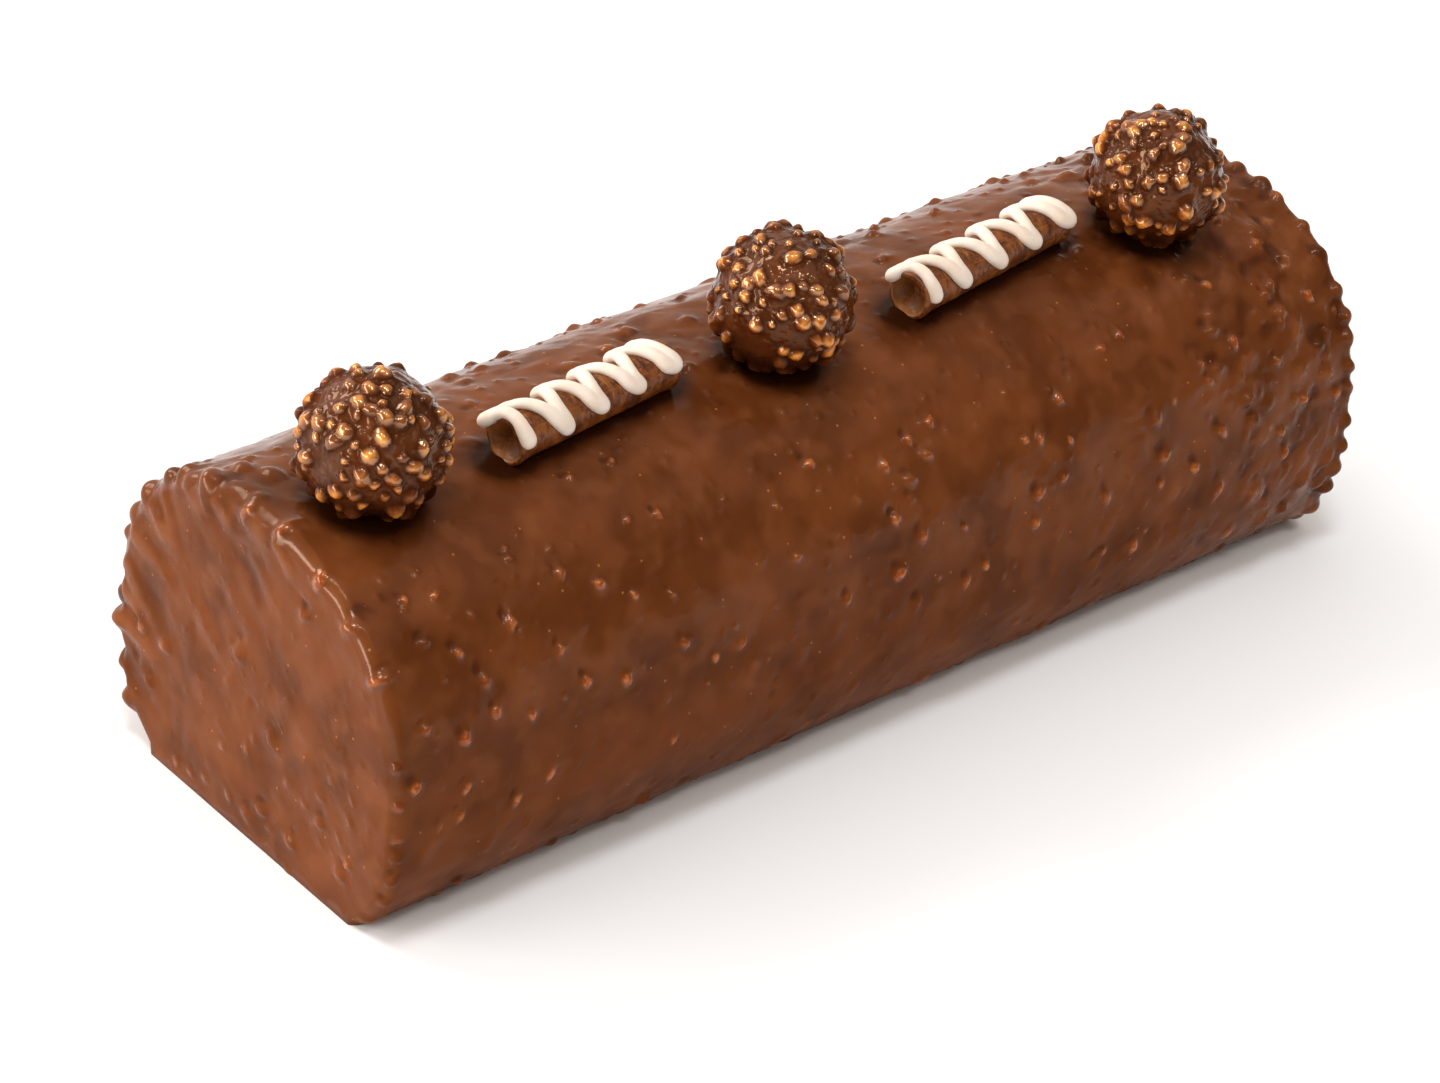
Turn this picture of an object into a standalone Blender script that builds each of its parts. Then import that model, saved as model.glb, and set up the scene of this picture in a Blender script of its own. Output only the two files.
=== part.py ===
"""A swiss roll glazed all over with nut chocolate, topped with nut balls and iced wafer rolls.

Metres, +Z up. X runs along the roll and -Y is its front. The origin is under the middle of the
whole, on the face that it rests on.
"""

import math
import random

import bmesh
import bpy
import numpy as np
from mathutils import Matrix, Vector, noise

# The roll's bare glaze. Its section is an arch: two superellipse halves that meet where it is widest.
ROLL_LENGTH = 0.266
ROLL_HALF_WIDTH = 0.0466
ROLL_HEIGHT = 0.0766
WIDEST_HEIGHT = 0.0282
LOWER_RADIUS = 0.0378
ARCH_POWER = 2.4
FACE_MIDDLE_HEIGHT = WIDEST_HEIGHT + 0.006
END_ROUNDING = 0.0022
WAVE_HEIGHT = 0.00045
WAVE_LENGTH = 0.016
FACE_WAVE_LENGTH = 0.020
WAVELESS_FOOT = 0.008
WAVELESS_ROOM, WAVING_ROOM = 0.002, 0.010

# How finely the roll is divided.
ARCH_STEPS = 40
LENGTH_STEPS = 28
ROUNDING_STEPS = 2
FACE_RINGS = (0.72, 0.38)

# Chopped nuts under the glaze: how many, and how clear they stay of edges, feet and toppings.
SIDE_NUTS = 60
FACE_NUTS = 9
NUT_RADII = (0.0017, 0.0027)
NUT_SPACING = 0.0120
NUT_SHOWN = 0.55
NUT_MARGIN = 0.005
NUT_TOPPING_ROOM = 0.006
NUT_FACE_SHARES = (0.02, 0.78)

# A nut's length, width and height, as shares of its radius.
NUT_LENGTHS = (0.85, 1.25)
NUT_WIDTHS = (0.85, 1.10)
NUT_HEIGHT = 0.8

# Nut-studded chocolate balls: each one's place along the roll, and how far in front of its ridge.
BALL_CORE_RADIUS = 0.0144
BALL_SUNK = 0.0015
BALL_PLACES = {"left": (-0.1122, 0.0068), "middle": (-0.0108, 0.0080), "right": (0.0940, 0.0106)}
BALL_NUTS = 34
BALL_NUT_RADII = (0.0017, 0.0025)
BALL_NUT_SHOWN = 0.62
BALL_NUT_JITTER = 0.07
BALL_LEAST_HEIGHT = 0.0030

# Wafer rolls: where each axis starts and ends, as places along the roll and in front of its ridge.
WAFER_RADIUS = 0.0051
WAFER_WALL = 0.0012
WAFER_LIP = 0.0005
WAFER_HOLLOW_DEPTH = 0.006
WAFER_SUNK = 0.0008
WAFER_SIDES = 15
WAFER_PLACES = {
    "left": ((-0.0823, 0.0098), (-0.0379, 0.0048)),
    "right": ((0.0232, 0.0106), (0.0718, 0.0042)),
}

# The icing's zigzag: its front turns, as places along each wafer with degrees from its top.
ICING_FRONT_TURNS = {
    "left": ((0.0015, 68), (0.0120, 80), (0.0219, 72), (0.0324, 68), (0.0430, 61)),
    "right": ((0.0026, 74), (0.0125, 77), (0.0245, 76), (0.0362, 73), (0.0483, 65)),
}
# Its way from one front turn over the back to the next, as shares of the pitch with degrees.
ICING_UP = ((-0.04, 28), (0.10, -25))
ICING_BACK = (0.22, -58)
ICING_DOWN = ((0.43, -22), (0.66, 24))
ICING_START = ((0.00, 15), (-0.11, -32), (-0.24, -52))
ICING_END = ((-0.14, 20), (-0.26, -24), (-0.30, -58))
ICING_RADIUS = 0.00135
ICING_TURN_RADIUS = 0.0018
ICING_LIFT = 0.00035

# How far a topping's seat is cut beyond it.
SEAT_MARGIN = 0.010

# Room between pieces that touch.
GAP = 0.0003
RANDOM_SEED = 7


def material(name, color, roughness):
    """A plain food surface."""
    made = bpy.data.materials.new(name)
    made.use_nodes = True
    shader = made.node_tree.nodes["Principled BSDF"]
    shader.inputs["Base Color"].default_value = (*color, 1)
    shader.inputs["Roughness"].default_value = roughness
    shader.inputs["Metallic"].default_value = 0
    return made


def new_object(name, mesh, collection, surface=None):
    made = bpy.data.objects.new(name, mesh)
    collection.objects.link(made)
    if surface:
        mesh.materials.append(surface)
    return made


def new_collection(name):
    made = bpy.data.collections.new(name)
    bpy.context.scene.collection.children.link(made)
    return made


def arch(offset=0.0, steps=ARCH_STEPS):
    """The section from foot to foot over the top, evenly spaced: rows of (y, z), and their normals."""
    power = 2 / ARCH_POWER
    foot_angle = math.acos(-((WIDEST_HEIGHT / LOWER_RADIUS) ** (1 / power)))
    angle = np.linspace(-foot_angle, foot_angle, 4001)
    side, up = np.sin(angle), np.cos(angle)
    radius = np.where(up > 0, ROLL_HEIGHT - WIDEST_HEIGHT, LOWER_RADIUS)
    fine = np.stack(
        [
            ROLL_HALF_WIDTH * np.sign(side) * np.abs(side) ** power,
            WIDEST_HEIGHT + radius * np.sign(up) * np.abs(up) ** power,
        ],
        axis=1,
    )
    along = np.concatenate([[0], np.cumsum(np.linalg.norm(np.diff(fine, axis=0), axis=1))])
    wanted = np.linspace(0, along[-1], steps + 1)
    points = np.stack([np.interp(wanted, along, fine[:, k]) for k in (0, 1)], axis=1)
    run = np.gradient(points, axis=0)
    normals = np.stack([-run[:, 1], run[:, 0]], axis=1)
    normals /= np.linalg.norm(normals, axis=1, keepdims=True)
    points = points + offset * normals
    points[[0, -1], 1] = 0
    return points, normals


def surface_at(x, forward):
    """The bare glaze's point and outward normal at a place along the roll, in front of its ridge."""
    rise = ROLL_HEIGHT - WIDEST_HEIGHT
    share = abs(forward) / ROLL_HALF_WIDTH
    height = rise * (1 - share**ARCH_POWER) ** (1 / ARCH_POWER)
    slope = Vector((0, -math.copysign(share ** (ARCH_POWER - 1) / ROLL_HALF_WIDTH, forward)))
    normal = Vector((0, slope.y, (height / rise) ** (ARCH_POWER - 1) / rise)).normalized()
    return Vector((x, -forward, WIDEST_HEIGHT + height)), normal


def smooth_step(value, low, high):
    share = min(max((value - low) / (high - low), 0.0), 1.0)
    return share * share * (3 - 2 * share)


def topping_room(point):
    """How far a point is from the nearest topping's footprint, seen from above; negative inside it."""
    rooms = []
    for x, forward in BALL_PLACES.values():
        rooms.append(math.hypot(point.x - x, point.y + forward) - BALL_CORE_RADIUS)
    for start, end in WAFER_PLACES.values():
        first, last = Vector((start[0], -start[1])), Vector((end[0], -end[1]))
        run = last - first
        share = (Vector((point.x, point.y)) - first).dot(run) / run.length_squared
        nearest = first + run * min(max(share, 0.0), 1.0)
        rooms.append((Vector((point.x, point.y)) - nearest).length - WAFER_RADIUS)
    return min(rooms)


def wave(point, length):
    """The glaze's slow rise and fall."""
    return WAVE_HEIGHT * noise.noise(Vector(point) / length)


def side_relief(point):
    """Waves on the roll's side, gone at its feet and under the toppings."""
    room = topping_room(point) if point.z > ROLL_HEIGHT / 2 else math.inf
    fade = smooth_step(room, WAVELESS_ROOM, WAVING_ROOM) * smooth_step(point.z, 0.0, WAVELESS_FOOT)
    return wave(point, WAVE_LENGTH) * fade


def ring(bm, x, points, normals):
    """One section of the roll, its points moved along their normals by the relief."""
    made = []
    for (y, z), (across, up) in zip(points, normals):
        point = Vector((x, y, z))
        made.append(bm.verts.new(point + Vector((0, across, up)) * side_relief(point)))
    return made


def bridge(bm, first, second):
    count = len(first)
    for k in range(count):
        after = (k + 1) % count
        bm.faces.new((first[k], first[after], second[after], second[k]))


def end_face(bm, outer, facing):
    """Rings that shrink to a middle point, so that the end's glaze can wave too."""
    x = outer[0].co.x
    middle = Vector((x, 0, FACE_MIDDLE_HEIGHT))
    last = outer
    for share in FACE_RINGS:
        made = []
        for vertex in outer:
            point = middle + (vertex.co - middle) * share
            point.x = x + facing * wave(point, FACE_WAVE_LENGTH)
            made.append(bm.verts.new(point))
        bridge(bm, last, made)
        last = made
    tip = bm.verts.new(middle)
    for k in range(len(last)):
        bm.faces.new((last[k], last[(k + 1) % len(last)], tip))


def make_roll(collection, surface):
    """The bare roll: a lofted arch with rounded, gently waved ends."""
    bm = bmesh.new()
    half = ROLL_LENGTH / 2
    straight = np.linspace(-(half - END_ROUNDING), half - END_ROUNDING, LENGTH_STEPS + 1)
    turn = [(k + 1) / ROUNDING_STEPS * math.pi / 2 for k in range(ROUNDING_STEPS)]
    places = [(-(half - END_ROUNDING * (1 - math.sin(a))), a) for a in reversed(turn)]
    places += [(x, 0.0) for x in straight]
    places += [(half - END_ROUNDING * (1 - math.sin(a)), a) for a in turn]
    rings = []
    for x, angle in places:
        points, normals = arch(-END_ROUNDING * (1 - math.cos(angle)))
        rings.append(ring(bm, x, points, normals))
    for first, second in zip(rings, rings[1:]):
        bridge(bm, first, second)
    end_face(bm, rings[0], -1)
    end_face(bm, rings[-1], 1)
    bmesh.ops.recalc_face_normals(bm, faces=bm.faces)
    mesh = bpy.data.meshes.new("roll")
    bm.to_mesh(mesh)
    bm.free()
    mesh.shade_smooth()
    return new_object("glazed_roll", mesh, collection, surface)


def make_nut(collection, place, outward, radius, shown, rng):
    """A chopped nut: a squat faceted lump that shows a share of its radius above the surface."""
    bm = bmesh.new()
    bmesh.ops.create_icosphere(bm, subdivisions=1, radius=radius)
    mesh = bpy.data.meshes.new("nut")
    bm.to_mesh(mesh)
    bm.free()
    spin = Matrix.Rotation(rng.uniform(0, 2 * math.pi), 4, "Z")
    squat = Matrix.Diagonal((rng.uniform(*NUT_LENGTHS), rng.uniform(*NUT_WIDTHS), NUT_HEIGHT, 1))
    stand = outward.to_track_quat("Z", "Y").to_matrix().to_4x4()
    depth = (NUT_HEIGHT - shown) * radius
    mesh.transform(Matrix.Translation(place - outward * depth) @ stand @ squat @ spin)
    return new_object("nut", mesh, collection)


def fuse(body, collection):
    """Joins every object of the collection to the body, then removes the collection."""
    union = body.modifiers.new("fused", "BOOLEAN")
    union.operation = "UNION"
    union.operand_type = "COLLECTION"
    union.collection = collection
    union.solver = "EXACT"
    bpy.context.view_layer.objects.active = body
    bpy.ops.object.modifier_apply(modifier=union.name)
    for piece in list(collection.objects):
        bpy.data.meshes.remove(piece.data)
    bpy.data.collections.remove(collection)


def nut_places(rng):
    """Evenly scattered points of the glaze with their normals, clear of feet, edges and toppings."""
    points, normals = arch(steps=400)
    half = ROLL_LENGTH / 2
    taken = []

    def free(point):
        return all((point - other).length > NUT_SPACING for other in taken)

    while len(taken) < SIDE_NUTS:
        k = rng.randrange(len(points))
        point = Vector((rng.uniform(-half + NUT_MARGIN, half - NUT_MARGIN), *points[k]))
        under = point.z > ROLL_HEIGHT / 2 and topping_room(point) < NUT_TOPPING_ROOM
        if point.z < NUT_MARGIN or under:
            continue
        if free(point):
            taken.append(point)
            yield point, Vector((0, *normals[k]))
    for facing in (-1, 1):
        wanted = len(taken) + FACE_NUTS
        while len(taken) < wanted:
            edge = points[rng.randrange(len(points))]
            share = math.sqrt(rng.uniform(*NUT_FACE_SHARES))
            middle = Vector((facing * half, 0, FACE_MIDDLE_HEIGHT))
            point = middle + (Vector((facing * half, *edge)) - middle) * share
            if point.z > NUT_MARGIN and free(point):
                taken.append(point)
                yield point, Vector((facing, 0, 0))


def stud_roll(roll):
    """The chopped nuts that raise the roll's glaze."""
    rng = random.Random(RANDOM_SEED)
    nuts = new_collection("roll_nuts")
    for point, outward in nut_places(rng):
        make_nut(nuts, point, outward, rng.uniform(*NUT_RADII), NUT_SHOWN, rng)
    fuse(roll, nuts)


def make_seat(cutters, name, low, high):
    """A cutter with the roll's section, grown by the gap: it shapes the underside of a topping."""
    bm = bmesh.new()
    points, _ = arch(GAP)
    first = [bm.verts.new((low, y, z)) for y, z in points]
    second = [bm.verts.new((high, y, z)) for y, z in points]
    bridge(bm, first, second)
    bm.faces.new(first)
    bm.faces.new(second)
    bmesh.ops.recalc_face_normals(bm, faces=bm.faces)
    mesh = bpy.data.meshes.new(name)
    bm.to_mesh(mesh)
    bm.free()
    seat = new_object(name, mesh, cutters)
    seat.hide_render = True
    seat.display_type = "WIRE"
    return seat


def rest_on_roll(piece, cutters, low, high):
    """Cuts the underside of a topping to the roll's glaze."""
    cut = piece.modifiers.new("seat", "BOOLEAN")
    cut.operation = "DIFFERENCE"
    cut.object = make_seat(cutters, piece.name + "_seat", low, high)
    cut.solver = "EXACT"


def even_directions(count):
    """Directions spread evenly over a sphere along a spiral."""
    golden = math.pi * (3 - math.sqrt(5))
    for k in range(count):
        up = 1 - 2 * (k + 0.5) / count
        flat = math.sqrt(1 - up * up)
        yield Vector((flat * math.cos(golden * k), flat * math.sin(golden * k), up))


def make_ball(side, place, collection, cutters, surface):
    """A chocolate ball studded with chopped nuts, a little sunk in the roll's glaze."""
    rng = random.Random(f"{RANDOM_SEED} ball {side}")
    foot, normal = surface_at(*place)
    centre = foot + normal * (BALL_CORE_RADIUS - BALL_SUNK)
    bm = bmesh.new()
    bmesh.ops.create_icosphere(
        bm, subdivisions=3, radius=BALL_CORE_RADIUS, matrix=Matrix.Translation(centre)
    )
    mesh = bpy.data.meshes.new("ball")
    bm.to_mesh(mesh)
    bm.free()
    mesh.shade_smooth()
    ball = new_object(f"nut_ball_{side}", mesh, collection, surface)
    turn = Matrix.Rotation(rng.uniform(0, 2 * math.pi), 3, "Z")
    nuts = new_collection("ball_nuts")
    for direction in even_directions(BALL_NUTS):
        jitter = Vector([rng.gauss(0, BALL_NUT_JITTER) for _ in range(3)])
        outward = (turn @ direction + jitter).normalized()
        point = centre + outward * BALL_CORE_RADIUS
        radius = rng.uniform(*BALL_NUT_RADII)
        if (point - foot).dot(normal) > BALL_LEAST_HEIGHT:
            make_nut(nuts, point, outward, radius, BALL_NUT_SHOWN, rng)
    fuse(ball, nuts)
    reach = BALL_CORE_RADIUS + SEAT_MARGIN
    rest_on_roll(ball, cutters, centre.x - reach, centre.x + reach)
    return ball


def wafer_frame(place):
    """A wafer's matrix and its length: local X runs along its axis and Z points up."""
    ends = []
    for spot in place:
        foot, normal = surface_at(*spot)
        ends.append(foot + normal * (WAFER_RADIUS - WAFER_SUNK))
    run = ends[1] - ends[0]
    along = run.normalized()
    front = along.cross(Vector((0, 0, 1))).normalized()
    up = front.cross(along)
    frame = Matrix((along, -front, up)).transposed().to_4x4()
    return Matrix.Translation(ends[0]) @ frame, run.length


def make_wafer_roll(length):
    """The rolled wafer along local X, as a turned profile with a hollow at each end."""
    bore = WAFER_RADIUS - WAFER_WALL
    half = [
        (WAFER_HOLLOW_DEPTH, 0),
        (WAFER_HOLLOW_DEPTH, bore),
        (WAFER_LIP, bore),
        (0, bore + WAFER_LIP),
        (0, WAFER_RADIUS - WAFER_LIP),
        (WAFER_LIP, WAFER_RADIUS),
    ]
    profile = half + [(length - x, radius) for x, radius in reversed(half)]
    bm = bmesh.new()
    line = [bm.verts.new((x, 0, radius)) for x, radius in profile]
    for first, second in zip(line, line[1:]):
        bm.edges.new((first, second))
    bmesh.ops.spin(
        bm,
        geom=bm.verts[:] + bm.edges[:],
        axis=(1, 0, 0),
        cent=(0, 0, 0),
        angle=2 * math.pi,
        steps=WAFER_SIDES,
    )
    bmesh.ops.remove_doubles(bm, verts=bm.verts, dist=1e-6)
    bmesh.ops.recalc_face_normals(bm, faces=bm.faces)
    mesh = bpy.data.meshes.new("wafer")
    bm.to_mesh(mesh)
    bm.free()
    mesh.set_sharp_from_angle(angle=math.radians(50))
    return mesh


def icing_path(side):
    """The zigzag's points in order, as (place along the wafer, degrees from its top)."""
    turns = ICING_FRONT_TURNS[side]
    first, last = turns[0][0], turns[-1][0]
    pitch = (last - first) / (len(turns) - 1)
    path = [turns[0]]
    path += [(first + share * pitch, degrees) for share, degrees in ICING_START]
    for (x, _), turn in zip(turns, turns[1:]):
        up = ICING_UP if x > first else ()
        way = (*up, ICING_BACK, *ICING_DOWN)
        path += [(x + share * (turn[0] - x), degrees) for share, degrees in way]
        path.append(turn)
    path += [(last + share * pitch, degrees) for share, degrees in ICING_END]
    return path


def strokes(path):
    """The path cut wherever it turns back sharply."""
    spots = [Vector((x, WAFER_RADIUS * math.radians(degrees))) for x, degrees in path]
    legs = [end - start for start, end in zip(spots, spots[1:])]
    cuts = [k + 1 for k, (before, after) in enumerate(zip(legs, legs[1:])) if before.dot(after) < 0]
    ends = [0, *cuts, len(path) - 1]
    return [path[start : end + 1] for start, end in zip(ends, ends[1:])]


def on_wafer(x, degrees):
    """A point of the icing's middle line, in the wafer's frame."""
    reach, angle = WAFER_RADIUS + ICING_LIFT, math.radians(degrees)
    return Vector((x, -reach * math.sin(angle), reach * math.cos(angle)))


def make_stroke(path, collection):
    """One stroke of the zigzag, as a closed tube."""
    curve = bpy.data.curves.new("stroke", "CURVE")
    curve.dimensions = "3D"
    curve.bevel_depth = ICING_RADIUS
    curve.bevel_resolution = 1
    curve.use_fill_caps = True
    spline = curve.splines.new("POLY")
    spline.points.add(len(path) - 1)
    for point, spot in zip(spline.points, path):
        point.co = (*on_wafer(*spot), 1)
    drawn = bpy.data.objects.new("stroke", curve)
    bpy.context.scene.collection.objects.link(drawn)
    graph = bpy.context.evaluated_depsgraph_get()
    mesh = bpy.data.meshes.new_from_object(drawn.evaluated_get(graph))
    bpy.data.objects.remove(drawn)
    bm = bmesh.new()
    bm.from_mesh(mesh)
    bmesh.ops.remove_doubles(bm, verts=bm.verts, dist=1e-6)
    bmesh.ops.recalc_face_normals(bm, faces=bm.faces)
    bm.to_mesh(mesh)
    bm.free()
    new_object("stroke", mesh, collection)


def make_icing(side, collection):
    """The thick zigzag of icing: its strokes, with a bead at each end that is fuller at the front."""
    parts = strokes(icing_path(side))
    for part in parts:
        make_stroke(part, collection)
    for spot in [parts[0][0], *(part[-1] for part in parts)]:
        radius = ICING_TURN_RADIUS if spot[1] > 0 else ICING_RADIUS
        bm = bmesh.new()
        place = Matrix.Translation(on_wafer(*spot))
        bmesh.ops.create_icosphere(bm, subdivisions=1, radius=radius, matrix=place)
        mesh = bpy.data.meshes.new("turn")
        bm.to_mesh(mesh)
        bm.free()
        new_object("turn", mesh, collection)


def make_wafer(side, place, collection, cutters, surface):
    """A rolled wafer with its icing fused on, resting along the roll's ridge."""
    frame, length = wafer_frame(place)
    wafer = new_object(f"wafer_roll_{side}", make_wafer_roll(length), collection, surface)
    topping = new_collection("wafer_icing")
    make_icing(side, topping)
    fuse(wafer, topping)
    wafer.data.transform(frame)
    rest_on_roll(wafer, cutters, place[0][0] - SEAT_MARGIN, place[1][0] + SEAT_MARGIN)
    return wafer


def centre_on_origin(pieces, cutters):
    """Moves everything sideways so that the whole's box is centred over the origin."""
    graph = bpy.context.evaluated_depsgraph_get()
    corners = []
    for piece in pieces:
        corners += [Vector(corner) for corner in piece.evaluated_get(graph).bound_box]
    shift = Matrix.Identity(4)
    for axis in (0, 1):
        values = [corner[axis] for corner in corners]
        shift[axis][3] = -(min(values) + max(values)) / 2
    for piece in [*pieces, *cutters.objects]:
        piece.data.transform(shift)


def main():
    for existing in list(bpy.data.objects):
        bpy.data.objects.remove(existing)
    collection = new_collection("swiss_roll")
    cutters = new_collection("cutters")
    glaze = material("nut_glaze", (0.105, 0.036, 0.017), 0.32)
    coating = material("ball_coating", (0.120, 0.045, 0.018), 0.25)
    wafer = material("wafer", (0.270, 0.105, 0.032), 0.6)
    roll = make_roll(collection, glaze)
    stud_roll(roll)
    pieces = [roll]
    for side, place in BALL_PLACES.items():
        pieces.append(make_ball(side, place, collection, cutters, coating))
    for side, place in WAFER_PLACES.items():
        pieces.append(make_wafer(side, place, collection, cutters, wafer))
    centre_on_origin(pieces, cutters)


main()
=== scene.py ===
"""The looks of a swiss roll glazed with nut chocolate, topped with nut balls and iced wafer rolls.

Everything is in metres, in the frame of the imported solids: X runs along the roll, -Y is its front
and the roll rests on z = 0. Each dressed piece replaces the plain solid that it is made over.
"""

import itertools
import math
import random

import bmesh
import bpy
import numpy as np
from mathutils import Matrix, Quaternion, Vector, kdtree, noise


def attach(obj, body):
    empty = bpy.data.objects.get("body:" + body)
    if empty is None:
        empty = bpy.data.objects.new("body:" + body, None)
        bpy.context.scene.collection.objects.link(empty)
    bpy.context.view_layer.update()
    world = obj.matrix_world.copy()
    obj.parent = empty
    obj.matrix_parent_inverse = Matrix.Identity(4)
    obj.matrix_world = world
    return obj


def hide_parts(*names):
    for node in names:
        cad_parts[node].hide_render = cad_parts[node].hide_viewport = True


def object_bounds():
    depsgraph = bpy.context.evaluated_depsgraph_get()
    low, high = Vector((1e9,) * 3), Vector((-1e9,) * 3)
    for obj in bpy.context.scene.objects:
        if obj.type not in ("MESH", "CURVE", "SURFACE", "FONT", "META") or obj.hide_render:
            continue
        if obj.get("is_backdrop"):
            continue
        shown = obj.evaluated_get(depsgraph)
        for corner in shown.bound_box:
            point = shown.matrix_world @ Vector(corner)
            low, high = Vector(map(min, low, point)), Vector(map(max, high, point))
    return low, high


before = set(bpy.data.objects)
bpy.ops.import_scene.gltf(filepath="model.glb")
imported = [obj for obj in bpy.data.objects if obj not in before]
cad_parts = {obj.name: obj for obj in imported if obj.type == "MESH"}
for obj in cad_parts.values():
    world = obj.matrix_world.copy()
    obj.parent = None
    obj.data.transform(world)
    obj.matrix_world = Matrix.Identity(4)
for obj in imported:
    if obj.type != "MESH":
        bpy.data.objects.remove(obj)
CAD_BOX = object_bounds()
BODY = "root"

# The photograph's camera, solved from the cake's outlines.
IMAGE_WIDTH, IMAGE_HEIGHT = 1440, 1083
FOCAL_PIXELS = 4278
CAMERA_AZIMUTH = math.radians(-43.78)
CAMERA_ELEVATION = math.radians(33.10)
CAMERA_ROLL = math.radians(5.85)
CAMERA_PLACE = Vector((-0.5339, -0.5442, 0.5175))
CAMERA_CLIP = (0.05, 30)
SENSOR_WIDTH = 36.0

# The roll's bare glaze, as in the solid: two superellipse halves that meet where it is widest.
ROLL_LENGTH = 0.266
HALF_LENGTH = ROLL_LENGTH / 2
ROLL_HALF_WIDTH = 0.0466
ROLL_HEIGHT = 0.0766
WIDEST_HEIGHT = 0.0282
LOWER_RADIUS = 0.0378
ARCH_POWER = 2.4
FACE_MIDDLE_HEIGHT = WIDEST_HEIGHT + 0.006

# The rounding of the end edges: its size in front and behind, the range of -Y where one changes
# to the other, and its power (2 would be round).
EDGE_ROUNDING_FRONT = 0.0025
EDGE_ROUNDING_BACK = 0.0034
EDGE_ROUNDING_CHANGE = (-0.012, 0.018)
ROUNDING_POWER = 1.6

# How finely the roll is divided, and how many triangles are kept where its form needs them.
ARCH_SAMPLES = 8001
ARCH_STEPS = 420
UNDERSIDE_STEPS = 110
LENGTH_STEPS = 560
FACE_STEPS = 84
LEAST_FACE_SHARE = 0.02
ROUNDING_STEPS = 12
ROLL_TRIANGLES = 196_000

# The section's steps by which nuts and runs are placed, and about how long one is.
SECTION_STEPS = 600
SECTION_STEP = 0.2 / SECTION_STEPS

# The glaze's relief: slow waves, warped ripples, slanted streaks on the ends, and a fine skin.
WAVE_HEIGHT = 0.00060
WAVE_LENGTH = 0.016
RIPPLE_HEIGHT = 0.00044
RIPPLE_LENGTH = 0.0075
WARP_REACH = 0.004
WARP_LENGTH = 0.012
FACE_STREAK_HEIGHT = 0.00026
FACE_STREAK_WIDTH = 0.0046
FACE_STREAK_AXES = np.array([(1, 0, 0), (0, -0.643, 0.766), (0, 0.766, 0.643)])
FACE_STREAK_SCALE = [1, 1, 0.3]
SKIN_HEIGHT = 0.00005
SKIN_LENGTH = 0.0023

# Runs of glaze that set as low ridges: from the ends' rims, within the ends and on the sides.
RIM_RUN_SPACING = 0.0092
FACE_RUNS = 12
SIDE_RUNS = 90
RUN_STEP = 0.001
# How far the glaze on the sides ran aslant, towards the left end.
SIDE_SLANT = 0.50

# Nuts under the glaze that the photograph shows: image column and row, and radius in millimetres.
NUTS_SEEN = (
    (1057, 399, 1.3), (1155, 420, 1.9), (1172, 400, 0.8), (1119, 335, 1.2), (1101, 348, 1.1),
    (929, 422, 1.4), (908, 440, 1.2), (926, 455, 1.4), (885, 466, 1.3), (911, 480, 1.7),
    (809, 464, 1.3), (1025, 440, 0.9), (1039, 439, 1.2), (1069, 440, 0.9), (1062, 478, 1.1),
    (1039, 494, 1.5), (896, 520, 1.4), (922, 537, 1.5), (965, 528, 0.9), (796, 558, 1.2),
    (1105, 498, 1.7), (1035, 524, 1.4), (1164, 457, 1.6), (1160, 485, 1.0), (899, 574, 1.5),
    (847, 600, 1.3), (966, 582, 1.3), (985, 565, 1.1), (1132, 546, 1.3), (1104, 552, 0.9),
    (917, 602, 1.3), (509, 559, 0.9), (559, 574, 1.3), (599, 584, 1.3), (635, 595, 1.0),
    (671, 594, 0.9), (434, 595, 0.9), (404, 600, 1.0), (511, 623, 1.4), (424, 643, 1.2),
    (458, 653, 1.2), (560, 650, 1.1), (626, 679, 1.5), (684, 643, 1.4), (742, 644, 1.3),
    (716, 658, 1.1), (586, 682, 1.3), (485, 682, 1.6), (496, 712, 1.3), (464, 738, 1.5),
    (425, 730, 1.3), (532, 715, 1.1), (550, 773, 1.4), (459, 816, 1.2), (517, 800, 1.2),
    (466, 788, 1.2), (415, 788, 1.4), (672, 738, 1.0), (611, 462, 1.1), (657, 515, 1.2),
    (627, 520, 0.9), (569, 477, 0.9), (1212, 331, 1.7), (1234, 342, 1.5), (1201, 364, 0.9),
    (1209, 382, 1.2), (1222, 432, 1.4), (1284, 258, 1.9), (1253, 232, 2.1), (1308, 296, 1.6),
    (1280, 311, 1.9), (1302, 399, 1.5), (1284, 452, 1.4), (1194, 468, 1.4), (1207, 285, 1.2),
    (242, 468, 2.3), (274, 474, 2.3), (208, 478, 2.2), (186, 481, 1.8), (158, 513, 1.7),
    (248, 503, 1.6), (278, 533, 1.5), (322, 575, 1.4), (347, 629, 1.5), (373, 683, 1.3),
    (143, 626, 1.4), (165, 646, 1.6), (240, 653, 1.9), (304, 616, 1.3), (150, 680, 1.3),
    (272, 741, 2.0), (223, 746, 0.9), (246, 749, 1.0), (252, 740, 0.8), (176, 761, 1.0),
    (190, 772, 1.0), (206, 778, 1.1), (230, 795, 1.1), (247, 814, 1.4), (261, 810, 1.2),
    (269, 828, 0.9), (290, 841, 1.2), (288, 783, 1.0), (321, 797, 1.0), (319, 824, 1.2),
    (351, 822, 0.9), (353, 800, 0.9), (339, 839, 1.0), (348, 865, 1.2), (340, 874, 1.4),
    (332, 780, 0.9), (288, 874, 0.9), (304, 804, 0.9),
)
# Pits in the glaze, given in the same way.
PITS_SEEN = (
    (252, 703, 1.3), (270, 728, 1.4), (235, 641, 1.3), (137, 655, 1.2), (1150, 447, 1.4),
    (890, 508, 1.3), (688, 630, 1.2),
)
PIT_DEPTH = 0.00035
HOLLOW_DEPTH = 0.00022
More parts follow.
